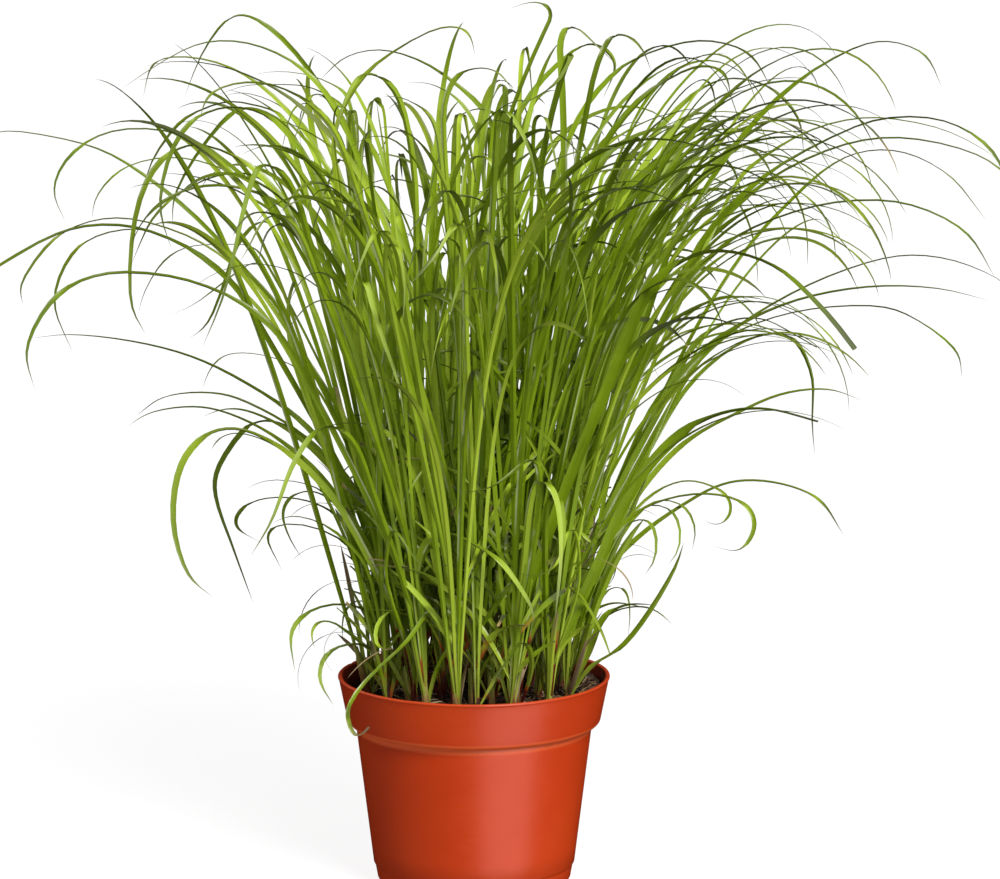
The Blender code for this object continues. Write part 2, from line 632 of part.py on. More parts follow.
def grow_read_leaves(tuft, courses, per_shoot):
    """Give each leaf that the photo shows a shoot and a depth that keep it clear of the others."""
    for width, tip_depth, pixels in courses.values():
        inner, before = pixels[-1], pixels[-2]
        slope = (inner[0] - before[0]) / max(inner[1] - before[1], 1.0)
        column = inner[0] + READ_SLOPE_SHARE * max(-1.0, min(1.0, slope)) * (PHOTO_SOIL_ROW - inner[1])
        column = max(READ_ROOT_COLUMNS[0], min(READ_ROOT_COLUMNS[1], column))
        wanted = from_photo(column, PHOTO_SOIL_ROW, 0.0)
        wanted.y = READ_ROOT_DEPTH_SHARE * tip_depth
        free = [shoot for shoot in range(SHOOT_COUNT) if len(tuft.leaves[shoot]) < per_shoot]
        free.sort(key=lambda shoot: (tuft.roots[shoot] - wanted).length
                  + READ_CROWDING * len(tuft.leaves[shoot]))
        best = None
        for shoot in free[:READ_SHOOTS_TRIED]:
            for shift in READ_DEPTH_SHIFTS:
                course = read_course(tuft.roots[shoot], tip_depth + shift, pixels)
                if not clear_of_pot(course):
                    continue
                samples = tuft.samples(course, width)
                room = tuft.room(shoot, samples)
                if best is None or room > best[0]:
                    best = (room, shoot, course, samples)
                if room > LEAF_GAP:
                    break
            if best and best[0] > LEAF_GAP:
                break
        if best and best[0] > LEAF_GAP / 2:
            tuft.add(best[1], best[2], width, best[3])


def grow_far_leaves(tuft):
    """One leaf each to the front and to the back that reaches as far as the tuft does sideways."""
    heading, lean, droop, power = FAR_LEAF
    for side in (-1, 1):
        shoot = max(range(SHOOT_COUNT), key=lambda index: side * tuft.roots[index].y)
        root = tuft.roots[shoot]
        unit = arching_course(root, side * heading, lean, 1.0, droop, power, 0.0)
        reach = max(side * (point.y - root.y) for point in unit)
        length = (FAR_REACH - side * root.y) / reach
        course = arching_course(root, side * heading, lean, length, droop, power, 0.0)
        tuft.add(shoot, course, LEAF_WIDTHS[0], tuft.samples(course, LEAF_WIDTHS[0]))


def random_leaf(root, rng):
    """The course and width of a leaf that rises and arches outwards from its place in the tuft."""
    edge = math.hypot(root.x, root.y) / ROOT_ZONE_RADIUS
    scatter = HEADING_SCATTER[0] + HEADING_SCATTER[1] * (1.0 - edge)
    heading = math.atan2(root.y, root.x) + rng.gauss(0.0, scatter)
    lean = LEAN[0] + LEAN[1] * edge + rng.uniform(0.0, LEAN[2])
    length = rng.uniform(*LONG_LEAF) + FRONT_EXTRA * abs(math.sin(heading)) * edge
    power = rng.uniform(*ARCH_POWER) - EDGE_POWER_LOSS * edge
    if rng.random() < SHORT_LEAF_SHARE * edge:
        length = rng.uniform(*SHORT_LEAF)
        lean += SHORT_LEAF_LEAN
        power = rng.uniform(*SHORT_LEAF_POWER)
    droop = rng.uniform(*DROOP)
    sweep = rng.uniform(-SWEEP, SWEEP)
    return arching_course(root, heading, lean, length, droop, power, sweep), rng.uniform(*LEAF_WIDTHS)


def grow_arching_leaves(tuft, rng, per_shoot):
    """Fill up each shoot with leaves that keep clear of the others."""
    for turn in range(per_shoot):
        for shoot, root in enumerate(tuft.roots):
            if len(tuft.leaves[shoot]) > turn:
                continue
            for _ in range(TRIES):
                course, width = random_leaf(root, rng)
                if not inside_reach(course) or not clear_of_pot(course):
                    continue
                samples = tuft.samples(course, width)
                if tuft.room(shoot, samples) > LEAF_GAP:
                    tuft.add(shoot, course, width, samples)
                    break


def leaf_rings(course, width, foot):
    """Three corners of the leaf at each station: its two edges, and the keel under its midline. The
    leaf starts at its own foot in the sheath."""
    marks = stations(course)
    points = [foot] + [point_at(course, mark) for mark in marks[1:]]
    outward = points[-1] - points[0]
    outward.z = 0.0
    across = outward.normalized().cross(Vector((0.0, 0.0, 1.0)))
    rings = []
    for number, (mark, point) in enumerate(zip(marks, points)):
        after = points[min(number + 1, len(points) - 1)] - point
        before = point - points[max(number - 1, 0)]
        ahead = (after.normalized() + before.normalized()).normalized()
        across = (across - ahead * across.dot(ahead)).normalized()
        under = ahead.cross(across)
        half = leaf_half_width(width, mark)
        keel = LEAF_KEEL_DEPTH * min(1.0, 2 * half / width + LEAF_KEEL_AT_TIP)
        rings.append((point - across * half, point + across * half, point + under * keel))
    return rings, points[-1]


def draw_out(bm, face, keep):
    """Extrude a face and return its copy. The face left behind goes, unless it closes the foot."""
    grown = bmesh.ops.extrude_face_region(bm, geom=[face])["geom"]
    if not keep:
        bmesh.ops.delete(bm, geom=[face], context="FACES_ONLY")
    return next(item for item in grown if isinstance(item, bmesh.types.BMFace))


def make_leaf(course, width, foot):
    """One leaf: a three-sided blade, drawn out station by station and closed to a point."""
    rings, tip = leaf_rings(course, width, foot)
    bm = bmesh.new()
    face = bm.faces.new([bm.verts.new(corner) for corner in rings[0]])
    for number, ring in enumerate(rings[1:]):
        face = draw_out(bm, face, keep=number == 0)
        for vert, corner in zip(face.verts, ring):
            vert.co = corner
    bmesh.ops.pointmerge(bm, verts=list(face.verts), merge_co=tip)
    bmesh.ops.recalc_face_normals(bm, faces=bm.faces)
    return add_object("leaf", bm)


def make_sheath(name, root, top, material):
    """The sheath that a shoot's leaves grow out of: three-sided, rooted in its socket."""
    bm = bmesh.new()
    foot = root - Vector((0.0, 0.0, ROOT_DEPTH))
    bmesh.ops.create_circle(bm, segments=3, radius=SHEATH_RADIUS, cap_ends=True,
                            matrix=Matrix.Translation(foot) @ outward_turn(root))
    face = bm.faces[:][0]
    centre = foot
    for place, radius in ((root, SHEATH_RADIUS), (top, SHEATH_TOP_RADIUS)):
        face = draw_out(bm, face, keep=centre == foot)
        bmesh.ops.translate(bm, verts=face.verts, vec=place - centre)
        size = radius / SHEATH_RADIUS
        bmesh.ops.scale(bm, verts=face.verts, vec=(size, size, 1.0), space=Matrix.Translation(-place))
        centre = place
    bmesh.ops.recalc_face_normals(bm, faces=bm.faces)
    return add_object(name, bm, material)


def make_shoot(number, root, leaves, rng, material):
    """One shoot: its sheath with its leaves grown onto it, as one solid."""
    lean = sum(((point_at(course, SHEATH_LEAN_SHARE) - root).normalized() for course, _ in leaves),
               Vector((0.0, 0.0, 0.0)))
    top = root + lean.normalized() * rng.uniform(*SHEATH_HEIGHTS)
    shoot = make_sheath(f"shoot_{number:02d}", root, top, material)
    for rank, (course, width) in enumerate(leaves):
        angle = 2 * math.pi * rank / len(leaves)
        foot = root + Vector((RANK_OFFSET * math.cos(angle), RANK_OFFSET * math.sin(angle),
                              RANK_HEIGHT * (rank + 1)))
        fuse(shoot, make_leaf(course, width, foot))
    shoot.data.shade_smooth()
    shoot.data.set_sharp_from_angle(angle=LEAF_CREASE)
    return shoot


def main():
    clear_scene()
    rng = random.Random(SEED)
    roots = root_points(rng)
    make_pot(make_material("pot_plastic", (0.60, 0.075, 0.025), 0.42))
    make_soil(make_material("peat_soil", (0.035, 0.018, 0.014), 0.95), roots)
    tuft = Tuft(roots)
    grow_far_leaves(tuft)
    grow_read_leaves(tuft, LEAF_COURSES, LEAVES_PER_SHOOT)
    grow_arching_leaves(tuft, rng, LEAVES_PER_SHOOT)
    leaf_green = make_material("leaf_green", (0.20, 0.36, 0.04), 0.45)
    for number, (root, leaves) in enumerate(zip(roots, tuft.leaves), start=1):
        make_shoot(number, root, leaves, rng, leaf_green)


main()
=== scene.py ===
"""Looks of the potted cyperus: a satin plastic pot, lumpy peat and a tuft of fine keeled leaves.

The leaves are planned by the same rules and the same draws as the solids, so each fine leaf lies where
its solid is. More of the thin leaves that a shoot carries grow between them. Metres, +Z up, front -Y.
"""
import math
import random

import bpy
from mathutils import Matrix, Vector, noise
from mathutils.kdtree import KDTree


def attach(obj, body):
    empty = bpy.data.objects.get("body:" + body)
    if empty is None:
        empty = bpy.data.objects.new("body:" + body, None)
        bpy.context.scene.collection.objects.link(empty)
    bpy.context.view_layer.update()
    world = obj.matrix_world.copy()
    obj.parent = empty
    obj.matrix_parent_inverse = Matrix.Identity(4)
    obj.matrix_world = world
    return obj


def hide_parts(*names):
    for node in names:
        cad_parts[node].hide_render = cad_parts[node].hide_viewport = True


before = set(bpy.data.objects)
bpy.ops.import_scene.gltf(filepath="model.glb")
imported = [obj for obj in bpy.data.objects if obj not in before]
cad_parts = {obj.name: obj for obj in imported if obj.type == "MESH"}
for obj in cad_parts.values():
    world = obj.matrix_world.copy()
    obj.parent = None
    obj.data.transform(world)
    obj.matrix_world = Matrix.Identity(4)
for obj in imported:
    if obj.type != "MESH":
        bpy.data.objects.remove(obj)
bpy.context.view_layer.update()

# Pot
RIM_RADIUS = 0.0600
POT_HEIGHT = 0.0920
POT_WALL = 0.0012
LIP_HEIGHT = 0.0016
LIP_PROUD = 0.0007
COLLAR_FOOT_RADIUS = 0.0560
COLLAR_FOOT_Z = 0.0726
SHOULDER_FOOT_Z = 0.0699
INNER_SHOULDER_RISE = 0.0006
BODY_TOP_RADIUS = 0.0522
BODY_FOOT_RADIUS = 0.0446
FOOT_BAND_Z = 0.0074
FOOT_STEP = 0.0006
FOOT_RADIUS = 0.0430
FOOT_ROUNDING = 0.0020
FOOT_RING_RADIUS = 0.0375
BASE_RECESS = 0.0016
BASE_THICKNESS = 0.0016

# Soil
SOIL_EDGE_Z = 0.0800
SOIL_CROWN = 0.0040
SOIL_TOP_RADIUS = 0.0560
SOIL_LUMP = 0.00066
SOIL_LUMP_WAVES = (190.0, 160.0, 310.0)
CLEARANCE = 0.0003
SOIL_WALL_GAP = 0.0004

# Shoots
SHOOT_COUNT = 44
ROOT_ZONE_RADIUS = 0.0455
ROOT_JITTER = 0.0012
ROOT_START = 0.6
ROOT_TURN = 0.4
ROOT_DEPTH = 0.0055
SHEATH_RADIUS = 0.0027
SHEATH_HEIGHTS = (0.013, 0.024)
SHEATH_GUARD_HEIGHT = 0.021
SHEATH_LEAN_SHARE = 0.08
LEAVES_PER_SHOOT = 3

# Leaves
LEAF_WIDTHS = (0.0021, 0.0028)
LEAF_FOOT_WIDTH = 0.72
LEAF_WIDE_FROM = 0.18
LEAF_TAPER_FROM = 0.45
LEAF_TAPER_POWER = 1.7
LEAF_TAPER_DEPTH = 0.82
LEAF_GAP = 0.0006
SAMPLE_STEP = 0.002
UPRIGHT = Vector((0.0, 0.0, 1.0))
SEARCH_RADIUS = 0.0055
CURVE_POINTS = 12
RELAX_ROUNDS = 6

# A solid leaf's bends: the turn and the length between two, and the fewest and the most of them
SOLID_BENDS = (math.radians(34), 0.125, 4, 8)

# Room that a leaf keeps: to the rim that it passes over, to the soil and to the table
RIM_PASS_Z = 0.0965
RIM_PASS_RADII = (0.0545, 0.0640)
SOIL_PASS_GAP = 0.004
SOIL_PASS_FROM = 8
TABLE_GAP = 0.010

# Growth habit of the leaves that the photo doesn't single out
HEIGHT_LIMIT = 0.374
REACH_LIMIT = (0.150, 0.218)
OPEN_FOOT = (0.058, 0.092)
OPEN_RISE = 0.20
OPEN_FLARE = (0.45, 0.165)
OPEN_DEPTH_SHARE = 0.68
HEADING_SCATTER = (0.35, 0.80)
LEAN = (math.radians(2), math.radians(12), math.radians(5))
LONG_LEAF = (0.275, 0.350)
FRONT_EXTRA = 0.035
DROOP = (math.radians(80), math.radians(165))
ARCH_POWER = (2.2, 4.6)
EDGE_POWER_LOSS = 0.5
SHORT_LEAF_SHARE = 0.16
SHORT_LEAF = (0.10, 0.19)
SHORT_LEAF_LEAN = math.radians(14)
SHORT_LEAF_POWER = (1.4, 2.2)
SWEEP = 0.7
TRIES = 200
SEED = 24

# The front and back leaves that reach farthest: heading off the view, lean, droop, power and reach
FAR_LEAF = (math.radians(86), math.radians(14), math.radians(122), 2.0)
FAR_REACH = 0.226

# How a leaf that the photo shows is given its shoot and its depth
READ_SLOPE_SHARE = 0.42
READ_ROOT_COLUMNS = (376.0, 572.0)
READ_ROOT_DEPTH_SHARE = 0.30
READ_CROWDING = 0.004
READ_SHOOTS_TRIED = 7
READ_DEPTH_SHIFTS = (0.0, 0.012, -0.012, 0.024, -0.024, 0.036, -0.036)
READ_DEPTH_POWER = 1.3
READ_LIFT = (0.10, 0.10, 0.30)
READ_LIFT_FROM = 0.06

# Camera of the photo, which places a pixel in space once its depth is chosen
PHOTO_CENTRE = (500.0, 439.5)
PHOTO_FOCAL = 4072.0
PHOTO_EYE = Vector((0.0115, -1.755, 0.4908))
PHOTO_PITCH = math.radians(9.51)
PHOTO_SOIL_ROW = 686.0

# Leaves whose course the photo shows. A row is a leaf's width in metres, the depth of its tip behind the
# pot's axis (negative is nearer the viewer) and its midline from the tip inwards, in pixels of the photo
LEAF_COURSES = {
    "left_thin_sweep": "0.0018 0.030 -68,148 0,131 40,134 100,149 150,179 200,221 245,270 280,310",
    "left_wisp_hook": "0.0016 -0.080 66,223 53,190 70,155 110,131 165,130 205,146 245,178 275,206",
    "left_hanging_thick": "0.0026 -0.060 146,335 131,305 133,230 147,180 170,152 200,143 250,165 290,215",
    "left_inner_hook": "0.0022 0.075 131,265 155,215 200,181 250,173 285,200 310,240",
    "left_high_fold": "0.0024 0.020 173,230 174,197 205,143 243,107 280,122 306,160",
    "left_high_hook": "0.0024 -0.100 172,250 160,210 168,160 190,122 225,106 262,112 290,135 312,170",
    "left_low_sweep": "0.0024 -0.035 -72,352 -44,296 0,265 60,232 100,224 145,229 200,255 245,300",
    "left_low_hook": "0.0018 0.085 23,305 20,285 60,234 115,217 180,232 225,258 265,296",
    "left_long_drop": "0.0020 0.110 74,355 54,300 80,245 135,228 180,243 235,284 275,330",
    "left_wide_arch": "0.0024 -0.110 35,390 26,350 55,297 100,274 160,274 210,287 255,312 290,350",
    "left_lowest_sweep": "0.0023 0.055 26,339 70,334 140,342 200,359 260,391 300,420 330,455",
    "left_pale_hanging": "0.0027 -0.125 202,348 222,300 235,250 246,200 262,162 285,176 304,220",
    "left_top_arch": "0.0022 0.050 184,98 205,48 235,14 265,24 300,58 335,110 360,165",
    "left_top_sweep": "0.0022 -0.045 120,90 160,63 200,43 240,41 280,54 315,80 345,125",
    "left_top_low_sweep": "0.0019 0.100 143,98 155,61 205,59 255,81 300,125 330,175",
    "left_shoulder_arch": "0.0022 -0.150 200,118 208,95 240,82 280,86 320,112 345,155",
    "crown_left_arch": "0.0022 0.120 320,80 345,57 380,49 420,60 455,83 485,112 500,150",
    "crown_back_arch": "0.0020 -0.090 475,55 468,30 440,27 395,50 360,80 335,130 336,180",
    "crown_front_hook": "0.0025 -0.060 330,165 343,105 362,73 380,75 398,95 410,140 416,200",
    "crown_middle_arch": "0.0020 0.070 402,83 430,83 460,101 478,132 484,180",
    "crown_right_fold": "0.0022 -0.080 514,92 495,69 462,71 445,100 445,160 450,220",
    "crown_highest": "0.0020 0.040 508,9 535,1 553,10 540,40 520,88 500,145 485,200",
    "crown_bent_blade": "0.0026 -0.130 538,210 533,160 515,120 500,106 497,135 494,185",
    "crown_wide_blade": "0.0028 -0.020 618,66 595,44 570,23 560,40 562,80 564,150",
    "crown_right_arch": "0.0022 0.130 602,100 616,62 590,42 560,62 530,95 508,140",
    "crown_far_right_arch": "0.0022 -0.040 652,73 640,45 615,32 597,65 585,120 574,180",
    "right_top_sweep": "0.0022 0.070 773,92 750,54 707,40 660,48 620,68 580,115 560,170",
    "right_top_arch": "0.0025 -0.095 731,98 725,72 700,65 660,83 625,115 595,160 575,210",
    "right_shoulder_arch": "0.0024 0.110 804,158 798,117 764,84 716,80 663,124 630,175 606,230",
    "right_high_sweep": "0.0020 -0.050 942,88 925,54 883,40 842,53 787,90 743,135 700,197 665,262",
    "right_deep_arch": "0.0018 0.085 988,223 948,174 895,150 842,158 778,213 739,259 693,333 660,400",
    "right_far_sweep": ("0.0023 -0.085 1019,226 1010,189 991,149 945,120 881,118 824,140 770,172 725,212 "
                        "690,262"),
    "right_far_low_sweep": "0.0020 0.035 1022,200 1010,178 977,154 913,138 860,140 801,161 750,194 708,240",
    "right_middle_sweep": "0.0020 -0.120 995,278 966,232 906,203 840,201 782,215 735,237 695,272 662,320",
    "right_level_sweep": "0.0020 0.060 1008,288 1000,279 950,259 899,255 840,271 782,298 732,331 690,372",
    "right_low_level": "0.0024 -0.030 991,301 938,288 870,286 801,298 746,321 702,352 668,395",
    "right_drop_arch": "0.0020 0.060 962,379 957,351 901,311 850,305 779,315 715,343 668,385 640,430",
    "right_blunt_blade": "0.0028 -0.110 855,349 824,310 773,264 720,249 680,260 648,292 624,345",
    "right_hanging": "0.0020 0.095 815,457 812,422 812,375 791,336 760,335 720,356 685,390 655,440",
    "right_side_sweep": "0.0023 0.020 863,401 830,389 784,393 743,410 684,443 638,494 612,545",
    "right_side_blade": "0.0028 -0.070 818,421 768,408 728,410 692,425 651,463 620,512 600,560",
    "right_low_sweep": "0.0022 0.045 844,536 819,499 776,482 728,482 684,504 638,537 604,575",
    "right_curl": "0.0020 -0.060 711,545 740,551 756,524 743,502 702,493 651,504 618,530",
    "right_rim_leaf": "0.0022 -0.050 684,542 675,568 645,618 618,650 590,666",
    "right_short_curl": "0.0020 0.030 673,625 651,607 620,608 598,622",
    "left_side_sweep": "0.0022 -0.020 127,427 150,412 200,406 240,417 280,440 320,475 350,520",
    "left_side_high_sweep": "0.0022 0.090 135,417 165,396 220,393 260,408 300,433 335,470 362,520",
    "left_big_drop": "0.0028 -0.080 214,598 188,575 173,520 182,462 212,431 248,430 300,462 345,515",
    "left_second_drop": "0.0022 0.050 254,605 235,553 214,485 230,447 258,420 292,428 330,462 360,515",
    "left_upright_drop": "0.0025 -0.120 250,557 272,520 295,460 325,424 352,440 372,490",
    "left_curl": "0.0018 0.070 270,547 234,525 250,502 290,497 330,510 360,545",
    "left_low_curl": "0.0020 -0.045 295,672 291,630 315,608 350,604 376,618",
    "left_rim_hook": "0.0020 -0.032 334,706 319,680 325,655 350,643 376,650",
    "front_rim_leaf": "0.0024 -0.060 366,729 352,732 346,711 356,692 380,666 409,640 438,602",
    "front_left_bend": "0.0026 -0.150 350,300 361,262 380,227 397,250 405,300",
    "front_middle_bend": "0.0024 -0.140 407,288 436,256 458,219 464,260 466,330",
    "front_wide_hanging": "0.0028 -0.110 555,621 561,560 556,495 540,478 531,500 524,560",
    "front_level_leaf": "0.0022 -0.100 300,435 346,422 385,430 412,470 428,530",
}

# Thinner leaves that the photo shows between the others, with no solid of their own
FINE_COURSES = {
    "fine_left_wisp": "0.0013 -0.050 92,220 95,198 120,170 150,159 175,157 205,162 240,177 270,200",
    "fine_left_crown_hook": "0.0020 0.060 143,192 150,165 165,140 180,122 195,112 225,101 245,102 285,120",
    "fine_left_far_arch": "0.0012 0.110 138,315 143,295 160,265 175,252 190,246 215,244 260,252",
    "fine_left_inner_drop": "0.0018 -0.030 188,339 200,332 210,320 218,300 222,290 240,240 270,220",
    "fine_left_inner_tip": "0.0015 0.040 165,317 180,311 195,304 220,285 230,277 262,262",
    "fine_left_wide_bend": "0.0024 -0.140 240,262 250,245 258,228 268,215 285,215 305,245",
    "fine_left_top_fold": "0.0018 -0.030 205,100 225,92 245,85 270,84 315,88 350,120",
    "fine_left_top_low": "0.0015 0.080 220,97 240,92 260,96 280,105 310,135",
    "fine_left_top_level": "0.0016 -0.010 250,75 275,71 300,73 320,78 350,100",
    "fine_crown_bow": "0.0020 -0.110 382,97 393,95 405,98 420,106 432,117 440,150",
    "fine_crown_fold_left": "0.0024 0.000 485,115 493,98 503,78 506,100 502,150",
    "fine_crown_loop": "0.0016 0.090 445,150 450,130 460,115 475,108 495,112 505,150",
    "fine_crown_peak": "0.0024 -0.060 515,112 530,100 555,85 570,60 574,48 567,60 558,90 548,130 540,180",
    "fine_right_far_edge": "0.0016 -0.010 1000,161 980,147 948,131 915,122 870,117 824,125 780,146 735,185",
    "fine_right_inner_drop": "0.0018 0.020 817,347 801,338 784,328 763,318 730,320 690,350",
    "fine_right_low_curl": ("0.0014 -0.030 703,519 712,526 725,523 732,512 730,499 720,489 684,480 646,499 "
                            "615,540"),
    "fine_right_rim_curl": "0.0016 0.010 645,575 654,563 657,545 654,527 645,517 625,525 605,560",
    "fine_right_side_hook": "0.0013 0.030 692,551 696,532 692,517 682,504 655,500 625,530",
    "fine_right_low_hook": "0.0016 -0.070 668,565 677,555 681,537 678,519 669,507 645,505 615,535",
    "fine_right_rim_stem": "0.0012 0.020 628,640 630,606 623,586 606,590",
    "fine_left_mid_sweep": "0.0020 0.030 202,417 215,411 230,408 250,411 290,431 325,462 350,500",
    "fine_left_mid_hook": "0.0013 -0.050 211,450 215,441 225,434 240,432 275,445 320,485",
    "fine_left_low_arch": "0.0014 -0.010 245,490 255,483 275,479 295,481 315,486 350,520",
    "fine_left_base_hook": "0.0016 0.020 302,558 293,545 285,527 282,510 295,493 320,492 355,530",
    "fine_left_base_sweep": "0.0014 -0.060 270,524 280,519 292,515 320,522 345,540 368,570",
    "fine_left_base_curl": "0.0013 0.050 283,572 275,555 268,545 268,530 290,523 330,533 360,560",
    "fine_left_rim_curl": "0.0014 -0.020 315,648 310,635 315,622 330,620 358,640 380,660",
    "fine_left_rim_stem": "0.0013 0.010 343,645 342,620 348,605 362,598 380,620",
    "fine_left_thin_bow": "0.0012 0.080 202,390 207,375 215,362 230,353 265,355 300,370 330,410",
    "fine_front_curled": "0.0024 -0.090 458,491 479,491 502,481 520,465 534,456 540,480 535,540",
    "fine_front_left_drop": "0.0020 -0.120 402,330 405,290 402,262 395,240 385,250 390,300",
    "fine_front_right_blade": "0.0024 -0.100 555,621 559,575 564,530 559,495 548,500 545,560",
    "fine_crown_hang_left": "0.0024 -0.100 408,287 433,256 451,233 459,219 457,240 456,290 461,341",
    "fine_crown_hang_low": "0.0018 -0.110 474,318 464,295 453,262 446,247 438,262 434,330",
    "fine_crown_cross": ("0.0014 -0.120 464,228 480,237 493,239 506,236 517,226 524,213 530,196 537,190 "
                         "543,205 545,260"),
    "fine_left_stand": "0.0022 -0.060 294,282 289,296 288,316 290,340 296,365 315,420 345,500",
    "fine_left_fold_dark": "0.0026 -0.110 405,425 399,385 385,345 372,305 365,276 360,290 362,350",
    "fine_left_peak": "0.0022 -0.050 350,197 355,175 358,150 357,120 353,104 348,115 350,160 360,250",
    "fine_left_spike": "0.0018 0.030 376,98 380,125 385,155 392,200",
    "fine_left_twin_drop": "0.0014 -0.020 278,164 283,145 290,115 297,103 308,101 325,115 345,150",
    "fine_left_twin_inner": "0.0016 0.020 285,162 293,142 303,116 308,98 316,90 327,97 350,135",
    "fine_base_bow": ("0.0029 -0.062 535,623 532,607 521,589 509,571 496,557 482,548 462,537 444,531 "
                      "430,536 418,560 412,620"),
    "fine_base_cross": "0.0026 -0.060 468,572 455,566 444,557 430,546 414,534 402,528 392,540 390,580",
    "fine_base_tail": ("0.0018 -0.058 523,642 510,645 498,643 487,632 478,614 473,589 468,554 464,525 "
                       "458,515 452,530 450,580"),
    "fine_base_left_drop": "0.0014 -0.058 425,569 416,561 409,550 403,541 398,530 392,528 388,545 386,580",
    "fine_base_arc": "0.0020 -0.060 409,605 416,584 426,568 444,555 459,539 465,520 472,505 480,510 484,540",
    "fine_base_smile": ("0.0013 -0.056 509,566 519,573 532,577 544,574 555,568 562,554 566,535 572,525 "
                        "578,540 578,590"),
    "fine_base_pale_tip": "0.0024 -0.050 478,687 468,672 461,655 459,636 463,615 470,602 478,606 482,640",
    "fine_base_pale_short": "0.0022 -0.050 493,681 507,661 516,646 523,640 530,648 531,672",
    "fine_base_hook": "0.0012 -0.056 437,600 443,589 444,575 437,566 428,560 420,568 418,600",
    "fine_base_left_arch": "0.0016 -0.050 389,648 382,652 375,643 376,625 384,614 400,607 412,612 420,640",
    "fine_right_fold_pale": "0.0030 -0.040 645,518 637,527 628,540 614,564 603,589 594,612 585,645",
    "fine_right_low_bend": "0.0028 -0.030 660,606 640,603 620,605 605,615 597,628 592,645 583,662 576,674",
    "fine_right_low_broad": "0.0025 -0.050 655,610 640,606 625,603 612,601 600,606 588,614 574,626 566,645",
    "fine_right_base_stand": "0.0026 -0.020 650,470 632,510 616,545 601,580 590,615 581,650",
}

# The folded dry end of the leaf that hangs over the rim, tip first, and how that leaf looks
RIM_LEAF_END = (366, 729)
RIM_LEAF_END_GAP = 1.0
RIM_LEAF_FOLD = ((369, 727), (366, 731), (362, 736), (358, 740), (354, 738), (350, 728), (348, 720))
RIM_LEAF_ROW = 712
RIM_LEAF_WITHER = 0.44
RIM_LEAF_WIDTH = 0.0019
RIM_LEAF_TONE = 0.30

# Where leaves that the photo singles out end bluntly, broken off, how near a tip lies to such a pixel,
# and how much broader these leaves are
BROKEN_ENDS = ((855, 349), (818, 420), (817, 347), (294, 282))
BROKEN_END_GAP = 4.0
BROKEN_BREADTH = 1.45

# Habits of thin leaves: lean, length, droop, power of the arch, sweep and width. Lean and droop are in
# degrees, the sweep in radians.
HABITS = {
    "right": ((10, 22), (0.305, 0.430), (125, 192), (2.1, 4.4), 1.0, (0.0010, 0.0021)),
    "low right": ((12, 27), (0.220, 0.330), (110, 190), (1.6, 3.2), 1.0, (0.0007, 0.0016)),
    "hair": ((5, 15), (0.28, 0.37), (115, 190), (1.8, 3.4), 1.0, (0.0007, 0.0012)),
    "peeling": ((8, 38), (0.055, 0.125), (75, 178), (0.9, 2.2), 1.6, (0.0012, 0.0029)),
    "hanging": ((15, 42), (0.070, 0.155), (120, 180), (0.8, 1.7), 1.6, (0.0013, 0.0026)),
    "wisp": ((4, 34), (0.045, 0.090), (160, 310), (0.7, 1.5), 1.6, (0.0004, 0.0008)),
}

# The leaves that fill the tuft, some of them folded over, and the stubs that stand up from the peat
FILL_WIDTHS = (0.0015, 0.0031)
FILL_LENGTHS = (0.225, 0.338)
FILL_LEAN = (math.radians(2), math.radians(17))
FILL_INNER_LEAN = 0.5
FILL_SWEEP = 1.0
FOLD_SHARE = 0.24
FOLD_AT = (0.58, 0.86)
FOLD_SPAN = (0.025, 0.070)
FOLD_DROOP = (math.radians(148), math.radians(178))
STUB_WIDTHS = (0.0010, 0.0024)
STUB_LENGTHS = (0.024, 0.075)
STUB_LEAN = (math.radians(4), math.radians(34))
STUB_DROOP = (math.radians(10), math.radians(75))
STUB_POWER = 1.5

# How far the leaves' headings scatter, and how high on a stem the short ones part from it
FILL_SCATTER = 1.5
RIGHT_SCATTER = 0.6
HAIR_SCATTER = 0.5
PEEL_SCATTER = 0.7
FRONT_SCATTER = 1.25
WISP_SCATTER = 0.4
PEEL_HEIGHTS = (0.010, 0.100)
FRONT_HEIGHTS = (0.040, 0.150)

# Where the thin leaves may pass. The right side has its edge, lowest and highest height, the height
# below which nothing hangs there, and its reach.
LEFT_EDGE = (-0.066, 0.42, 0.255)
RIGHT_DEPTH = 0.150
RIGHT_CROWN = (0.105, 0.292, 0.375, OPEN_FLARE[1], 0.178)
RIGHT_LOW = (0.100, 0.225, 0.300, 0.220, 0.165)

# Rounds over the shoots, which shoots take part, and how withered and how spread the short leaves are
RIGHT_ROUNDS = 3
LOW_RIGHT_ROUNDS = 1
FILL_ROUNDS = 3
HAIR_ROUNDS = 1
PEEL_ROUNDS = 5
FRONT_ROUNDS = 2
STUB_ROUNDS = 2
WISP_ROUNDS = 1
RIGHT_ROOTS_FROM = 0.004
FRONT_SIDE = -0.024
FRONT_DEPTH = -0.006
WISP_SIDE = 0.024
PEEL_WITHER = (0.0, 0.42)
STUB_WITHER = (0.1, 0.85)
WISP_WITHER = (0.55, 1.0)
BASE_SPREAD = 0.062
WISP_SPREAD = 0.082
BASE_GAP = 0.0008
BASE_SHORTEST = 0.022
ENOUGH_ROOM = 0.0003
FILL_TRIES = 12
FILL_SEED = 71

# The straight leaf that the fine ones are bent from: its rows, for long and for short courses, its section
# as shares of its width, and its outline along its length
BLANK_ROWS = 38
SHORT_BLANK_ROWS = 16
SHORT_COURSE = 0.14
CHANNEL_DEPTH = 0.19
MIDRIB_THICKNESS = 0.17
BLANK_FOOT = 0.36
BLANK_FOOT_REACH = 0.29
BLANK_TAPER_FROM = 0.62
BLANK_TAPER = (0.93, 2.3)
BLUNT_SHARE = 0.10
BLUNT_BREADTH = 0.5
LEAST_BREADTH = 0.01

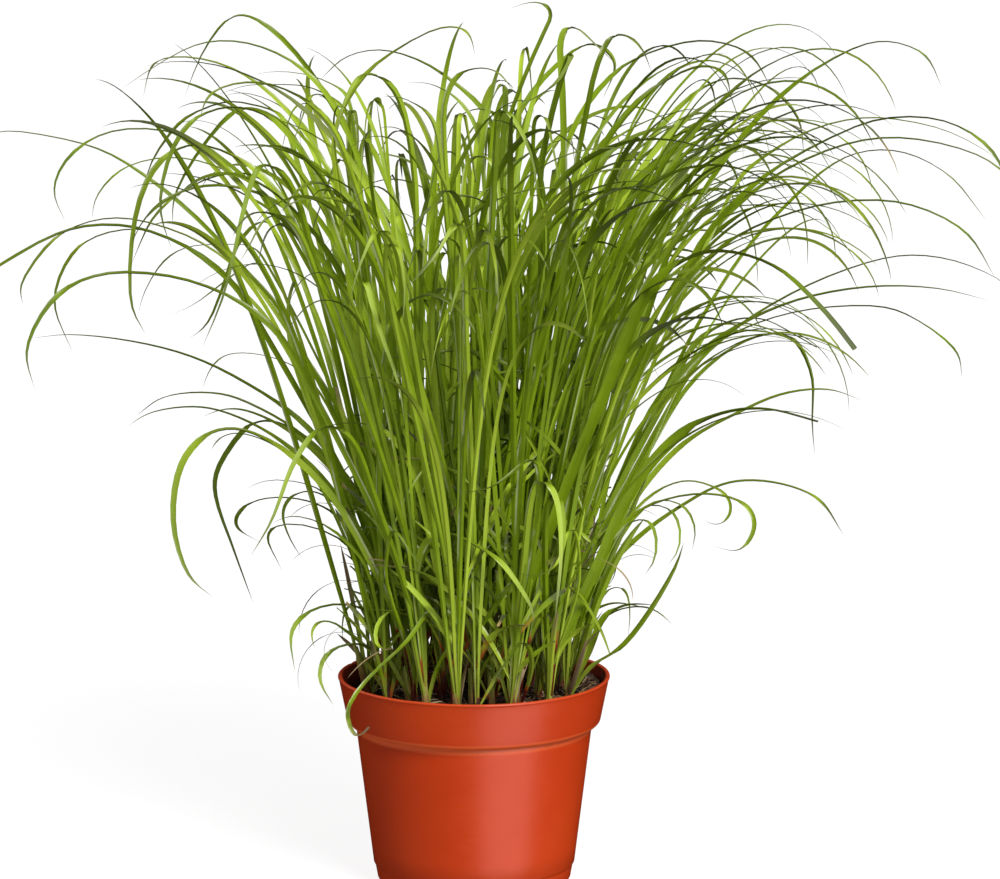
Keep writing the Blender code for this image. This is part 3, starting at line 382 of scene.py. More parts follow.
# How a fine leaf is bent: the turn and the length from row to row, how its blade turns, lies flat over the
# crest and rolls by chance, and how its foot stands in the peat
FINE_BENDS = (math.radians(15), 0.015)
LEVEL_SPAN = (0.60, 0.98)
CREST_STEADINESS = 0.8
CREST_FLATTENING = 0.2
LEAF_ROLL = 1.0
LEAF_TWIST = 0.8
SEEN_ROLL = 0.4
FINE_WIDTHS = (1.00, 1.16)
FOOT_SPREAD = (0.0003, 0.0010)
FOOT_BLEND = 0.03
SINK = Vector((0.0, 0.0, 0.0015))
BLADE_CREASE = math.radians(48)

# Which leaves end bluntly, and the tones of those that the photo singles out or that reach far
BLUNT_CHANCE = 0.25
BLUNT_WITHIN = (0.05, 0.30)
LOW_BLUNT_CHANCE = 0.45
SEEN_DRYNESS = 0.72
SEEN_TONE = 0.74
FAR_TIP = 0.090
FAR_TONE = 0.32

# A sheath's form: sides, the rows of its tube as (share of its length, widening), and its slanting mouth
SHEATH_SIDES = 7
SHEATH_ROWS = ((0.2, 1.06), (0.45, 0.94), (0.7, 0.9), (0.9, 0.88), (1.0, 0.78))
SHEATH_MOUTH_FROM = 0.95
SHEATH_MOUTH_SLANT = 0.22
SHEATH_SLIMNESS = 0.62
SHEATH_SUNK_SHARE = 0.6

# Pot and peat in their fine form
POT_SIDES = 144
FOOT_EDGE = 0.0004
BAND_EDGE = (0.0001, 0.00015)
SHOULDER_EDGE = ((0.0003, 0.0003), (0.0010, 0.0006))
COLLAR_EDGE = ((0.0018, 0.0018), (0.0010, 0.0014), (0.0004, 0.0008), (0.0001, 0.0003))
LIP_EDGE = ((0.00022, -0.0002), (0.00040, 0.0004))
LIP_ROUNDING = 0.0006
INNER_LIP_ROUNDING = 0.0005
LIP_WAVE = 0.00018
LIP_WAVE_SCALE = 2.3
LIP_NICK = 0.0011
LIP_NICK_SCALE = 17.0
LIP_NICK_FROM = 0.32
POT_CREASE = math.radians(32)
FLOOR_DISC = 0.012
INNER_SLOPE = (RIM_RADIUS - LIP_PROUD - COLLAR_FOOT_RADIUS) / (POT_HEIGHT - COLLAR_FOOT_Z)
INNER_FOOT = RIM_RADIUS - LIP_PROUD - POT_WALL - INNER_SLOPE * POT_HEIGHT
PEAT_SIDES = 120
PEAT_RINGS = 34
PEAT_OCTAVES = ((110.0, 0.0014), (260.0, 0.0016), (620.0, 0.0010))
PEAT_BANK = 0.0042
PEAT_BANK_SIDE = 0.0032
PEAT_BANK_FROM = 0.043
PEAT_TONE = 0.3
PEAT_CREASE = math.radians(50)
CRUMB_COUNT = 2000
LARGE_CRUMBS = 260
CRUMB_SIZES = (0.0005, 0.0014)
LARGE_CRUMB_SIZES = (0.0011, 0.0017)
CRUMB_DENTS = 0.55
CRUMB_DENT_SCALE = 2.1
CRUMB_FLATNESS = (0.35, 0.9)
CRUMB_STRETCH = (0.8, 1.5)
CRUMB_LIFT = 0.40
CRUMB_TILT = 0.5
CRUMB_TONE_POWER = 1.6
CRUMB_WALL_GAP = 0.0016
CRUMB_SPREAD = 0.32
FIBRE_COUNT = 420
FIBRE_LENGTHS = (0.008, 0.030)
FIBRE_WIDTHS = (0.0005, 0.0010)
FIBRE_LIFTS = (0.0002, 0.0022)
FIBRE_BEND = 120.0
FIBRE_REST = 0.0003
FIBRE_FEWEST_POINTS = 5
FIBRE_WANDER = 0.12
FIBRE_STEP = 0.001
FIBRE_ROWS = 8

# Colours of the finishes
LEAF_DARK = (0.066, 0.112, 0.002)
LEAF_MIDDLE = (0.215, 0.335, 0.004)
LEAF_LIGHT = (0.440, 0.585, 0.040)
LEAF_RIB = (0.400, 0.525, 0.026)
# Painted shade for a leaf seen edge-on
LEAF_EDGE_ON_SHADE = (0.055, 0.066, 0.030)
# Painted sheen: a pale streak painted on some leaves as a highlight
LEAF_PAINTED_SHEEN = (0.720, 0.780, 0.440)
LEAF_SHADE = (0.060, 0.080, 0.010)
# Painted light on the hanging ends in the middle of the tuft, painted shade on those outside, and where they
# part
LEAF_PAINTED_LIGHT = (0.480, 0.600, 0.110)
LEAF_OUTER_SHADE = (0.075, 0.120, 0.008)
PAINTED_LIGHT_WITHIN = 0.070
PAINTED_SHADE_FROM = 0.120
LEAF_FOOT = (0.360, 0.400, 0.060)
LEAF_TIP = (0.100, 0.110, 0.060)
LEAF_DEAD = (0.420, 0.310, 0.130)
FOOT_FADE_Z = (0.086, 0.125)
FOOT_RED = (0.110, 0.013, 0.006)
FOOT_ORANGE = (0.420, 0.085, 0.014)
RED_FOOT_FROM = 0.48
RED_FOOT_TOP = 0.112
WITHER_DARK = (0.050, 0.032, 0.020)
WITHER_PALE = (0.380, 0.270, 0.140)
SHEATH_DARK = (0.040, 0.009, 0.006)
SHEATH_RED = (0.180, 0.026, 0.010)
SHEATH_PALE = (0.300, 0.180, 0.050)
POT_RED = (0.590, 0.046, 0.003)
POT_DARK = (0.560, 0.042, 0.002)
POT_LIGHT = (0.620, 0.054, 0.004)
# Painted highlight on the lip's top edge
POT_LIP_HIGHLIGHT = (0.700, 0.200, 0.110)
# Painted light on the band under the collar
POT_PAINTED_LIGHT = (0.950, 0.140, 0.030)
# Peat dust with painted shade on the inner wall
POT_DUST_AND_SHADE = (0.060, 0.018, 0.010)
PEAT_BLACK = (0.018, 0.008, 0.006)
PEAT_BROWN = (0.050, 0.021, 0.013)
PEAT_RED = (0.115, 0.045, 0.026)
PEAT_SPECK = (0.190, 0.098, 0.052)
FIBRE_BROWN = (0.090, 0.042, 0.018)
FIBRE_TAN = (0.240, 0.145, 0.062)
FIBRE_PALE = (0.540, 0.410, 0.240)

# Camera, floor and light: each lamp's name, place, aim, size, power and whether it does more than glint
SENSOR_WIDTH = 36.0
PHOTO_WIDTH = 1000.0
FLOOR_SIZE = 60.0
FLOOR_TONE = 0.16
FLOOR_GLOW = 0.87
WORLD_STRENGTH = 0.38
SUN_STRENGTH = 3.2
SUN_SPREAD = math.radians(22)
SUN_PLACE = (1.03, -1.78, 1.75)
LIGHTS = (
    ("highlight", (0.94, -1.30, -0.20), (0.0, 0.0, 0.05), (1.6, 2.4), 28.0, False),
    ("back", (-1.30, 1.20, 1.40), (0.0, 0.0, 0.20), (1.2, 1.2), 6.0, True),
)


def inner_radius(z):
    """Radius of the pot's inner wall at a height above its floor."""
    if z >= COLLAR_FOOT_Z:
        share = (z - COLLAR_FOOT_Z) / (POT_HEIGHT - COLLAR_FOOT_Z)
        return COLLAR_FOOT_RADIUS + share * (RIM_RADIUS - LIP_PROUD - COLLAR_FOOT_RADIUS) - POT_WALL
    share = (z - FOOT_BAND_Z) / (SHOULDER_FOOT_Z - FOOT_BAND_Z)
    return BODY_FOOT_RADIUS + min(share, 1.0) * (BODY_TOP_RADIUS - BODY_FOOT_RADIUS) - POT_WALL


def floor_height():
    """Height of the pot's inner floor."""
    return BASE_RECESS + BASE_THICKNESS


def soil_height(x, y):
    """Height of the lumpy soil top, a low mound with its edge under the rim."""
    mound = SOIL_CROWN * max(0.0, 1.0 - (math.hypot(x, y) / SOIL_TOP_RADIUS) ** 2)
    along, across, fine = SOIL_LUMP_WAVES
    lumps = math.sin(x * along + 1.3) * math.cos(y * across - 0.4) + 0.6 * math.sin((x + y) * fine)
    return SOIL_EDGE_Z + mound + SOIL_LUMP * lumps


def root_points(rng):
    """Where the shoots stand, spread over the soil like seeds on a head."""
    golden = math.pi * (3 - math.sqrt(5))
    roots = []
    for number in range(SHOOT_COUNT):
        radius = ROOT_ZONE_RADIUS * math.sqrt((number + ROOT_START) / SHOOT_COUNT)
        angle = number * golden + ROOT_TURN
        x = radius * math.cos(angle) + rng.uniform(-ROOT_JITTER, ROOT_JITTER)
        y = radius * math.sin(angle) + rng.uniform(-ROOT_JITTER, ROOT_JITTER)
        roots.append(Vector((x, y, soil_height(x, y))))
    return roots


def from_photo(px, py, depth):
    """The point at a depth behind the pot's axis that the photo shows at a pixel."""
    right = (px - PHOTO_CENTRE[0]) / PHOTO_FOCAL
    up = (PHOTO_CENTRE[1] - py) / PHOTO_FOCAL
    ray = Vector((right, math.cos(PHOTO_PITCH) + up * math.sin(PHOTO_PITCH),
                  up * math.cos(PHOTO_PITCH) - math.sin(PHOTO_PITCH)))
    return PHOTO_EYE + ray * ((depth - PHOTO_EYE.y) / ray.y)


def to_photo(point):
    """The pixel at which the photo shows a point."""
    ray = point - PHOTO_EYE
    ahead = ray.y * math.cos(PHOTO_PITCH) - ray.z * math.sin(PHOTO_PITCH)
    above = ray.y * math.sin(PHOTO_PITCH) + ray.z * math.cos(PHOTO_PITCH)
    return PHOTO_CENTRE[0] + PHOTO_FOCAL * ray.x / ahead, PHOTO_CENTRE[1] - PHOTO_FOCAL * above / ahead


def even_course(points, step):
    """Points at an even step along a polyline, with both of its ends."""
    lengths = [(b - a).length for a, b in zip(points, points[1:])]
    total = sum(lengths)
    count = max(2, round(total / step))
    course = []
    index = 0
    passed = 0.0
    for number in range(count):
        goal = total * number / count
        while index < len(lengths) - 1 and passed + lengths[index] < goal:
            passed += lengths[index]
            index += 1
        share = (goal - passed) / max(lengths[index], 1e-9)
        course.append(points[index].lerp(points[index + 1], min(share, 1.0)))
    course.append(points[-1].copy())
    return course


def smooth_course(points, step):
    """A smooth course through given points: a Catmull-Rom curve, evened out and relaxed."""
    ends = [2 * points[0] - points[1]] + points + [2 * points[-1] - points[-2]]
    dense = []
    for a, b, c, d in zip(ends, ends[1:], ends[2:], ends[3:]):
        span = (c - b).length
        out_of = (c - a) * (span / max((c - b).length + (b - a).length, 1e-9))
        into = (d - b) * (span / max((d - c).length + (c - b).length, 1e-9))
        for number in range(CURVE_POINTS):
            t = number / CURVE_POINTS
            dense.append((2 * t ** 3 - 3 * t ** 2 + 1) * b + (t ** 3 - 2 * t ** 2 + t) * out_of
                         + (3 * t ** 2 - 2 * t ** 3) * c + (t ** 3 - t ** 2) * into)
    dense.append(points[-1].copy())
    course = even_course(dense, step)
    for _ in range(RELAX_ROUNDS):
        inner = [(a + 2 * b + c) / 4 for a, b, c in zip(course, course[1:], course[2:])]
        course = [course[0]] + inner + [course[-1]]
    return even_course(course, step)


def read_course(root, tip_depth, pixels):
    """A leaf's course from its root, through the pixels that the photo shows, to its tip. A leaf that
    is first seen far from its root rises steeply before it leans."""
    steps = list(reversed(pixels))
    foot = to_photo(root)
    lengths = [math.dist(a, b) for a, b in zip([foot] + steps, steps)]
    total = sum(lengths)
    points = [root.copy()]
    passed = 0.0
    for pixel, length in zip(steps, lengths):
        passed += length
        share = (passed / total) ** READ_DEPTH_POWER
        points.append(from_photo(*pixel, root.y + (tip_depth - root.y) * share))
    gap = points[1] - root
    if gap.length > READ_LIFT_FROM:
        points.insert(1, root + gap * Vector(READ_LIFT))
    return smooth_course(points, SAMPLE_STEP)


def arching_course(root, heading, lean, length, droop, power, sweep):
    """A leaf that rises nearly straight and arches over: its angle from upright grows towards the
    tip as a power of the way along it, and its heading turns by the sweep."""
    count = max(8, round(length / SAMPLE_STEP))
    course = [root.copy()]
    for number in range(count):
        share = (number + 0.5) / count
        tilt = lean + (droop - lean) * share ** power
        turn = heading + sweep * share ** 2
        step = Vector((math.sin(tilt) * math.cos(turn), math.sin(tilt) * math.sin(turn), math.cos(tilt)))
        course.append(course[-1] + step * (length / count))
    return course


def leaf_half_width(width, share):
    """Half a leaf's width at a share of its length: narrow in the sheath, widest low, a fine tip."""
    foot = LEAF_FOOT_WIDTH + (1.0 - LEAF_FOOT_WIDTH) * min(share / LEAF_WIDE_FROM, 1.0)
    beyond = max(0.0, (share - LEAF_TAPER_FROM) / (1.0 - LEAF_TAPER_FROM))
    return width / 2 * foot * (1.0 - LEAF_TAPER_DEPTH * beyond ** LEAF_TAPER_POWER)


def bend_shares(course, turn_step, length_step, least, most):
    """Shares of a course at which a leaf bends, closer together where it turns more."""
    steps = [b - a for a, b in zip(course, course[1:])]
    measure = [0.0]
    for number, step in enumerate(steps):
        turn = steps[number - 1].angle(step) if number else 0.0
        measure.append(measure[-1] + turn / turn_step + step.length / length_step)
    count = min(max(math.ceil(measure[-1]), least), most)
    shares = []
    index = 0
    for number in range(count + 1):
        goal = measure[-1] * number / count
        while index < len(measure) - 2 and measure[index + 1] < goal:
            index += 1
        part = (goal - measure[index]) / max(measure[index + 1] - measure[index], 1e-12)
        shares.append((index + min(part, 1.0)) / len(steps))
    return shares


def point_at(course, share):
    """The point of a course at a share of its length."""
    place = share * (len(course) - 1)
    index = min(int(place), len(course) - 2)
    return course[index].lerp(course[index + 1], place - index)


class Tuft:
    """The leaves placed so far, and how close a new one may come to those of other shoots."""

    def __init__(self, roots):
        self.roots = roots
        self.leaves = [[] for _ in roots]
        self.points = []
        for shoot, root in enumerate(roots):
            for point in even_course([root, root + Vector((0.0, 0.0, SHEATH_GUARD_HEIGHT))], SAMPLE_STEP):
                self.points.append((point, SHEATH_RADIUS, shoot))
        self.grow_tree()

    def grow_tree(self):
        """Sort the points for the search."""
        self.tree = KDTree(len(self.points))
        for number, (point, _, _) in enumerate(self.points):
            self.tree.insert(point, number)
        self.tree.balance()

    def samples(self, course, width):
        """Points along the leaf's faceted solid, each with its half width."""
        bends = [point_at(course, share) for share in bend_shares(course, *SOLID_BENDS)]
        line = even_course(bends, SAMPLE_STEP)
        return [(point, leaf_half_width(width, number / (len(line) - 1)))
                for number, point in enumerate(line)]

    def room(self, shoot, samples):
        """The narrowest gap to the leaves of the other shoots, no more than the search radius."""
        gap = SEARCH_RADIUS
        for point, half in samples:
            for _, number, distance in self.tree.find_range(point, SEARCH_RADIUS):
                other = self.points[number]
                if other[2] != shoot:
                    gap = min(gap, distance - half - other[1])
        return gap

    def add(self, leaves):
        """Grow leaves, each with its shoot, course, width and samples."""
        for shoot, course, width, samples in leaves:
            self.leaves[shoot].append((course, width))
            self.points += [(point, half, shoot) for point, half in samples]
        self.grow_tree()


def clear_of_pot(course):
    """Whether a leaf passes over the rim or hangs outside it, and stays off the soil and the table."""
    for number, point in enumerate(course):
        radius = math.hypot(point.x, point.y)
        if point.z > RIM_PASS_Z:
            continue
        if RIM_PASS_RADII[0] < radius < RIM_PASS_RADII[1]:
            return False
        soil_gap = point.z - soil_height(point.x, point.y)
        if radius <= RIM_PASS_RADII[0] and number > SOIL_PASS_FROM and soil_gap < SOIL_PASS_GAP:
            return False
        if point.z < TABLE_GAP:
            return False
    return True


def spread_limit(z):
    """How far from the axis the tuft spreads at a height: narrow above the pot, flaring to the crown."""
    return OPEN_FOOT[0] + OPEN_RISE * (z - OPEN_FOOT[1]) + OPEN_FLARE[0] * max(0.0, z - OPEN_FLARE[1])


def inside_reach(course):
    """Whether a leaf stays within the reach of those that the photo doesn't single out, and out of
    the open space low around the tuft."""
    return all(abs(point.x) < REACH_LIMIT[0] and abs(point.y) < REACH_LIMIT[1]
               and point.z < HEIGHT_LIMIT
               and math.hypot(point.x, OPEN_DEPTH_SHARE * point.y) < spread_limit(point.z)
               for point in course)


def read_rows(courses):
    """Each leaf's width, the depth of its tip and its pixels, out of its row of numbers."""
    for row in courses.values():
        width, depth, *pixels = row.split()
        yield float(width), float(depth), [tuple(map(int, pixel.split(","))) for pixel in pixels]


def readings(tuft, shoots, width, tip_depth, pixels):
    """A leaf of the photo on each of the nearest shoots, at each of the depths that are tried."""
    for shoot in shoots[:READ_SHOOTS_TRIED]:
        for shift in READ_DEPTH_SHIFTS:
            yield shoot, read_course(tuft.roots[shoot], tip_depth + shift, pixels), width


def tries(tuft, shoot, new_leaf, fits, rng, count):
    """The leaves that fit, of those that a shoot tries to grow."""
    for _ in range(count):
        course, width = new_leaf(tuft.roots[shoot], rng)
        if fits(course):
            yield shoot, course, width


def freest(tuft, leaves, enough):
    """The room, shoot, course, width and samples of the leaf that keeps clearest of the others, or of
    the first one with enough room. None, if no leaf passes clear of the pot."""
    best = None
    for shoot, course, width in leaves:
        if not clear_of_pot(course):
            continue
        samples = tuft.samples(course, width)
        room = tuft.room(shoot, samples)
        if best is None or room > best[0]:
            best = (room, shoot, course, width, samples)
        if room > enough:
            break
    return best


def grow_read_leaves(tuft, courses, per_shoot):
    """Give each leaf that the photo shows a shoot and a depth that keep it clear of the others."""
    for width, tip_depth, pixels in read_rows(courses):
        inner, before = pixels[-1], pixels[-2]
        slope = (inner[0] - before[0]) / max(inner[1] - before[1], 1.0)
        column = inner[0] + READ_SLOPE_SHARE * max(-1.0, min(1.0, slope)) * (PHOTO_SOIL_ROW - inner[1])
        column = max(READ_ROOT_COLUMNS[0], min(READ_ROOT_COLUMNS[1], column))
        wanted = from_photo(column, PHOTO_SOIL_ROW, 0.0)
        wanted.y = READ_ROOT_DEPTH_SHARE * tip_depth
        free = [shoot for shoot in range(SHOOT_COUNT) if len(tuft.leaves[shoot]) < per_shoot]
        free.sort(key=lambda shoot: (tuft.roots[shoot] - wanted).length
                  + READ_CROWDING * len(tuft.leaves[shoot]))
        best = freest(tuft, readings(tuft, free, width, tip_depth, pixels), LEAF_GAP)
        if best and best[0] > LEAF_GAP / 2:
            tuft.add([best[1:]])


def grow_far_leaves(tuft):
    """One leaf each to the front and to the back that reaches as far as the tuft does sideways."""
    heading, lean, droop, power = FAR_LEAF
    for side in (-1, 1):
        shoot = max(range(SHOOT_COUNT), key=lambda index: side * tuft.roots[index].y)
        root = tuft.roots[shoot]
        unit = arching_course(root, side * heading, lean, 1.0, droop, power, 0.0)
        reach = max(side * (point.y - root.y) for point in unit)
        length = (FAR_REACH - side * root.y) / reach
        course = arching_course(root, side * heading, lean, length, droop, power, 0.0)
        tuft.add([(shoot, course, LEAF_WIDTHS[0], tuft.samples(course, LEAF_WIDTHS[0]))])


def random_leaf(root, rng):
    """The course and width of a leaf that rises and arches outwards from its place in the tuft."""
    edge = math.hypot(root.x, root.y) / ROOT_ZONE_RADIUS
    scatter = HEADING_SCATTER[0] + HEADING_SCATTER[1] * (1.0 - edge)
    heading = math.atan2(root.y, root.x) + rng.gauss(0.0, scatter)
    lean = LEAN[0] + LEAN[1] * edge + rng.uniform(0.0, LEAN[2])
    length = rng.uniform(*LONG_LEAF) + FRONT_EXTRA * abs(math.sin(heading)) * edge
    power = rng.uniform(*ARCH_POWER) - EDGE_POWER_LOSS * edge
    if rng.random() < SHORT_LEAF_SHARE * edge:
        length = rng.uniform(*SHORT_LEAF)
        lean += SHORT_LEAF_LEAN
        power = rng.uniform(*SHORT_LEAF_POWER)
    droop = rng.uniform(*DROOP)
    sweep = rng.uniform(-SWEEP, SWEEP)
    return arching_course(root, heading, lean, length, droop, power, sweep), rng.uniform(*LEAF_WIDTHS)


def grow_arching_leaves(tuft, rng, per_shoot):
    """Fill up each shoot with leaves that keep clear of the others."""
    for turn in range(per_shoot):
        for shoot in range(SHOOT_COUNT):
            if len(tuft.leaves[shoot]) <= turn:
                best = freest(tuft, tries(tuft, shoot, random_leaf, inside_reach, rng, TRIES), LEAF_GAP)
                if best and best[0] > LEAF_GAP:
                    tuft.add([best[1:]])


def deselect_all():
    """Leave edit mode and clear the selection, so an operator acts on nothing by chance."""
    if bpy.context.mode != "OBJECT":
        bpy.ops.object.mode_set(mode="OBJECT")
    bpy.ops.object.select_all(action="DESELECT")


def select_only(items):
    """Select these objects alone, with the first of them active."""
    deselect_all()
    for item in items:
        item.select_set(True)
    bpy.context.view_layer.objects.active = items[0]


def settle(item):
    """Put an object's place and turn into its mesh, so the object itself sits at the origin."""
    select_only([item])
    bpy.ops.object.transform_apply(location=True, rotation=True, scale=True)


def extrude_to(scale_x, scale_z, y_from, y_to):
    """Draw the selected face out along Y and bring it to a new size."""
    bpy.ops.mesh.extrude_region_move(TRANSFORM_OT_translate={"value": (0.0, y_to - y_from, 0.0)})
    bpy.ops.transform.resize(value=(scale_x, 1.0, scale_z), center_override=(0.0, y_to, 0.0))


def start_disc(name, sides, radius, height=0.0, standing=False):
    """A disc, flat or standing square to Y, in edit mode and selected, ready to be drawn out."""
    deselect_all()
    turn = math.radians(90) if standing else 0.0
    bpy.ops.mesh.primitive_circle_add(vertices=sides, radius=radius, fill_type="NGON",
                                      location=(0.0, 0.0, height), rotation=(turn, 0.0, 0.0))
    disc = bpy.context.object
    disc.name = name
    settle(disc)
    bpy.ops.object.mode_set(mode="EDIT")
    bpy.ops.mesh.select_all(action="SELECT")
    return disc


def close_body():
    """Turn the normals of the body in edit mode outwards, and leave edit mode."""
    bpy.ops.mesh.select_all(action="SELECT")
    bpy.ops.mesh.normals_make_consistent(inside=False)
    bpy.ops.object.mode_set(mode="OBJECT")


def copy_of(blank, name):
    """A copy of an object, with a mesh of its own."""
    item = bpy.data.objects.new(name, blank.data.copy())
    bpy.context.scene.collection.objects.link(item)
    return item


def blank_width(share, blunt):
    """Width of the straight leaf at a share of its length, as a share of its greatest width: narrow
    where the sheath holds it, full over its lower half, then a long fine taper."""
    foot = BLANK_FOOT + (1.0 - BLANK_FOOT) * math.sin(math.pi / 2 * min(share / BLANK_FOOT_REACH, 1.0))
    beyond = max(0.0, (share - BLANK_TAPER_FROM) / (1.0 - BLANK_TAPER_FROM))
    width = foot * (1.0 - BLANK_TAPER[0] * beyond ** BLANK_TAPER[1])
    if blunt and share > 1.0 - BLUNT_SHARE:
        width = max(width, BLUNT_BREADTH)
    return width


def make_blank(name, rows, blunt):
    """A straight leaf, one unit long along Y and one unit wide: a channelled blade with a midrib
    below, thin at both margins, drawn out row by row and closed at the tip."""
    blank = start_disc(name, 4, 0.5, standing=True)
    bpy.ops.object.mode_set(mode="OBJECT")
    # The upper and lower corners of the diamond become the floor of the channel and the midrib.
    for vert in blank.data.vertices:
        if abs(vert.co.x) < 0.1:
            vert.co.z = -CHANNEL_DEPTH if vert.co.z > 0 else -CHANNEL_DEPTH - MIDRIB_THICKNESS
    bpy.ops.object.mode_set(mode="EDIT")
    first = blank_width(0.0, blunt)
    bpy.ops.transform.resize(value=(first, 1.0, first), center_override=(0.0, 0.0, 0.0))
    for row in range(1, rows + 1):
        before, after = (row - 1) / rows, row / rows
        size = blank_width(after, blunt) / blank_width(before, blunt)
        extrude_to(size, size, before, after)
    if not blunt:
        bpy.ops.mesh.merge(type="CENTER")
    close_body()
    along = blank.data.attributes.new("along", "FLOAT", "POINT")
    across = blank.data.attributes.new("across", "FLOAT", "POINT")
    for number, vert in enumerate(blank.data.vertices):
        along.data[number].value = vert.co.y
        width = max(blank_width(min(vert.co.y, 1.0), blunt), LEAST_BREADTH)
        across.data[number].value = vert.co.x / width
    return blank


def eased(value, low, high):
    """A value's share of the way from low to high, with soft ends."""
    share = max(0.0, min(1.0, (value - low) / (high - low)))
    return share * share * (3.0 - 2.0 * share)


def square_to(vector, way):
    """The part of a vector that stands square to a way."""
    return vector - way * vector.dot(way)


def blade_frames(course):
    """The way ahead, the blade's upper side and how level it lies, at each point of a leaf. The blade
    shows the viewer its flat side where it stands or hangs, and lies flat where the leaf arches over.
    Its side is carried from point to point, where a curve modifier's would flip as the leaf passes
    upright."""
    ahead = [(after - before).normalized() for before, after in
             zip([course[0]] + course[:-1], course[1:] + [course[-1]])]
    levels = [eased(way.xy.length, *LEVEL_SPAN) for way in ahead]
    crest = max(range(len(course)), key=lambda number: ahead[number].xy.length)
    sides = [None] * len(course)
    for order in (range(crest, len(course)), range(crest, -1, -1)):
        carried = square_to(UPRIGHT, ahead[crest])
        for number in order:
            flat = square_to(UPRIGHT, ahead[number])
            facing = square_to((PHOTO_EYE - course[number]).normalized(), ahead[number])
            flat *= math.copysign(1.0, flat.dot(carried))
            facing *= math.copysign(1.0, facing.dot(carried))
            mixed = flat * levels[number] + facing * (1.0 - levels[number])
            carried = sides[number] = mixed.normalized()
    return ahead, sides, levels


def between(values, share):
    """The value at a share of an evenly spaced list of numbers or vectors."""
    place = max(0.0, min(share, 1.0)) * (len(values) - 1)
    index = min(int(place), len(values) - 2)
    part = place - index
    return values[index] * (1.0 - part) + values[index + 1] * part


def bend_leaf(blank, rows, course, width, rng, seen, wither=0.0):
    """A copy of the straight leaf, bent along its course. Leaves that the photo singles out keep to
    the common turn of the blades, and the others stray from it by chance."""
    ahead, sides, levels = blade_frames(course)
    start, twist = rng.uniform(-LEAF_ROLL, LEAF_ROLL), rng.uniform(-LEAF_TWIST, LEAF_TWIST)
    if seen:
        start, twist = start * SEEN_ROLL, twist * SEEN_ROLL
    rolls = [start * (1.0 - CREST_STEADINESS * level) + twist * number / len(course)
             for number, level in enumerate(levels)]
    shares = bend_shares(course, *FINE_BENDS, rows, rows)
    leaf = copy_of(blank, "leaf")
    mesh = leaf.data
    crest = mesh.attributes.new("crest", "FLOAT", "POINT")
    for number, vert in enumerate(mesh.vertices):
        share = between(shares, vert.co.y)
        way = between(ahead, share).normalized()
        upper = square_to(between(sides, share), way).normalized()
        upper = Matrix.Rotation(between(rolls, share), 3, way) @ upper
        level = between(levels, share)
        crest.data[number].value = level
        depth = vert.co.z * (1.0 - CREST_FLATTENING * level)
        vert.co = between(course, share) + way.cross(upper) * (vert.co.x * width) + upper * (depth * width)
    tone = rng.random() * (SEEN_TONE if seen else 1.0)
    mark_all(mesh, "tone", max(tone, FAR_TONE) if course[-1].xy.length > FAR_TIP else tone)
    mark_all(mesh, "dryness", rng.random() * (SEEN_DRYNESS if seen else 1.0))
    mark_all(mesh, "wither", wither)
    return leaf


def with_dry_fold(course):
    """The course of the leaf over the rim, with the folded end that its solid leaves out."""
    rows = [to_photo(point)[1] for point in course]
    kept = next(index for index, row in enumerate(rows) if row > RIM_LEAF_ROW)
    fold = [from_photo(*pixel, course[-1].y) for pixel in reversed(RIM_LEAF_FOLD)]
    return smooth_course(course[:kept:4] + fold, SAMPLE_STEP)


def grow_fine_leaves(tuft, courses):
    """Give each thin leaf that the photo shows the shoot and the depth that leave it the most room."""
    for width, tip_depth, pixels in read_rows(courses):
        wanted = from_photo(*pixels[-1], 0.0)
        wanted.z = tuft.roots[0].z
        wanted.x = max(-ROOT_ZONE_RADIUS, min(ROOT_ZONE_RADIUS, wanted.x))
        wanted.y = READ_ROOT_DEPTH_SHARE * tip_depth
        near = sorted(range(SHOOT_COUNT), key=lambda shoot: (tuft.roots[shoot] - wanted).length)
        best = freest(tuft, readings(tuft, near, width, tip_depth, pixels), math.inf)
        if best:
            tuft.add([best[1:]])


def folded_course(root, heading, lean, length, rng):
    """The midline of a leaf that rises straight, folds over sharply and hangs down."""
    middle, half, droop = rng.uniform(*FOLD_AT), rng.uniform(*FOLD_SPAN), rng.uniform(*FOLD_DROOP)
    course = [root]
    count = round(length / SAMPLE_STEP)
    for number in range(count):
        tilt = lean + (droop - lean) * eased(number / count, middle - half, middle + half)
        course.append(course[-1] + SAMPLE_STEP * Vector((
            math.sin(tilt) * math.cos(heading), math.sin(tilt) * math.sin(heading), math.cos(tilt))))
    return course


def drawn_leaf(habit, start, heading, rng):
    """A leaf's course from its start and its width, drawn from the ranges of a habit."""
    lean, length, droop, power, sweep, widths = HABITS[habit]
    course = arching_course(start, heading, rng.uniform(*map(math.radians, lean)), rng.uniform(*length),
                            rng.uniform(*map(math.radians, droop)), rng.uniform(*power),
                            rng.uniform(-sweep, sweep))
    return course, rng.uniform(*widths)


def outwards(root, scatter, rng):
    """A heading away from the tuft's axis, more or less."""
    return math.atan2(root.y, root.x) + rng.gauss(0.0, scatter)


def fill_leaf(root, rng):
    """A leaf that rises through the tuft, crosses its neighbours and arches over, or folds sharply."""
    heading = outwards(root, FILL_SCATTER, rng)
    edge = math.hypot(root.x, root.y) / ROOT_ZONE_RADIUS
    lean = rng.uniform(*FILL_LEAN) * (FILL_INNER_LEAN + (1.0 - FILL_INNER_LEAN) * edge)
    length = rng.uniform(*FILL_LENGTHS)
    if rng.random() < FOLD_SHARE:
        course = folded_course(root, heading, lean, length, rng)
    else:
        course = arching_course(root, heading, lean, length, rng.uniform(*DROOP), rng.uniform(*ARCH_POWER),
                                rng.uniform(-FILL_SWEEP, FILL_SWEEP))
    return course, rng.uniform(*FILL_WIDTHS)


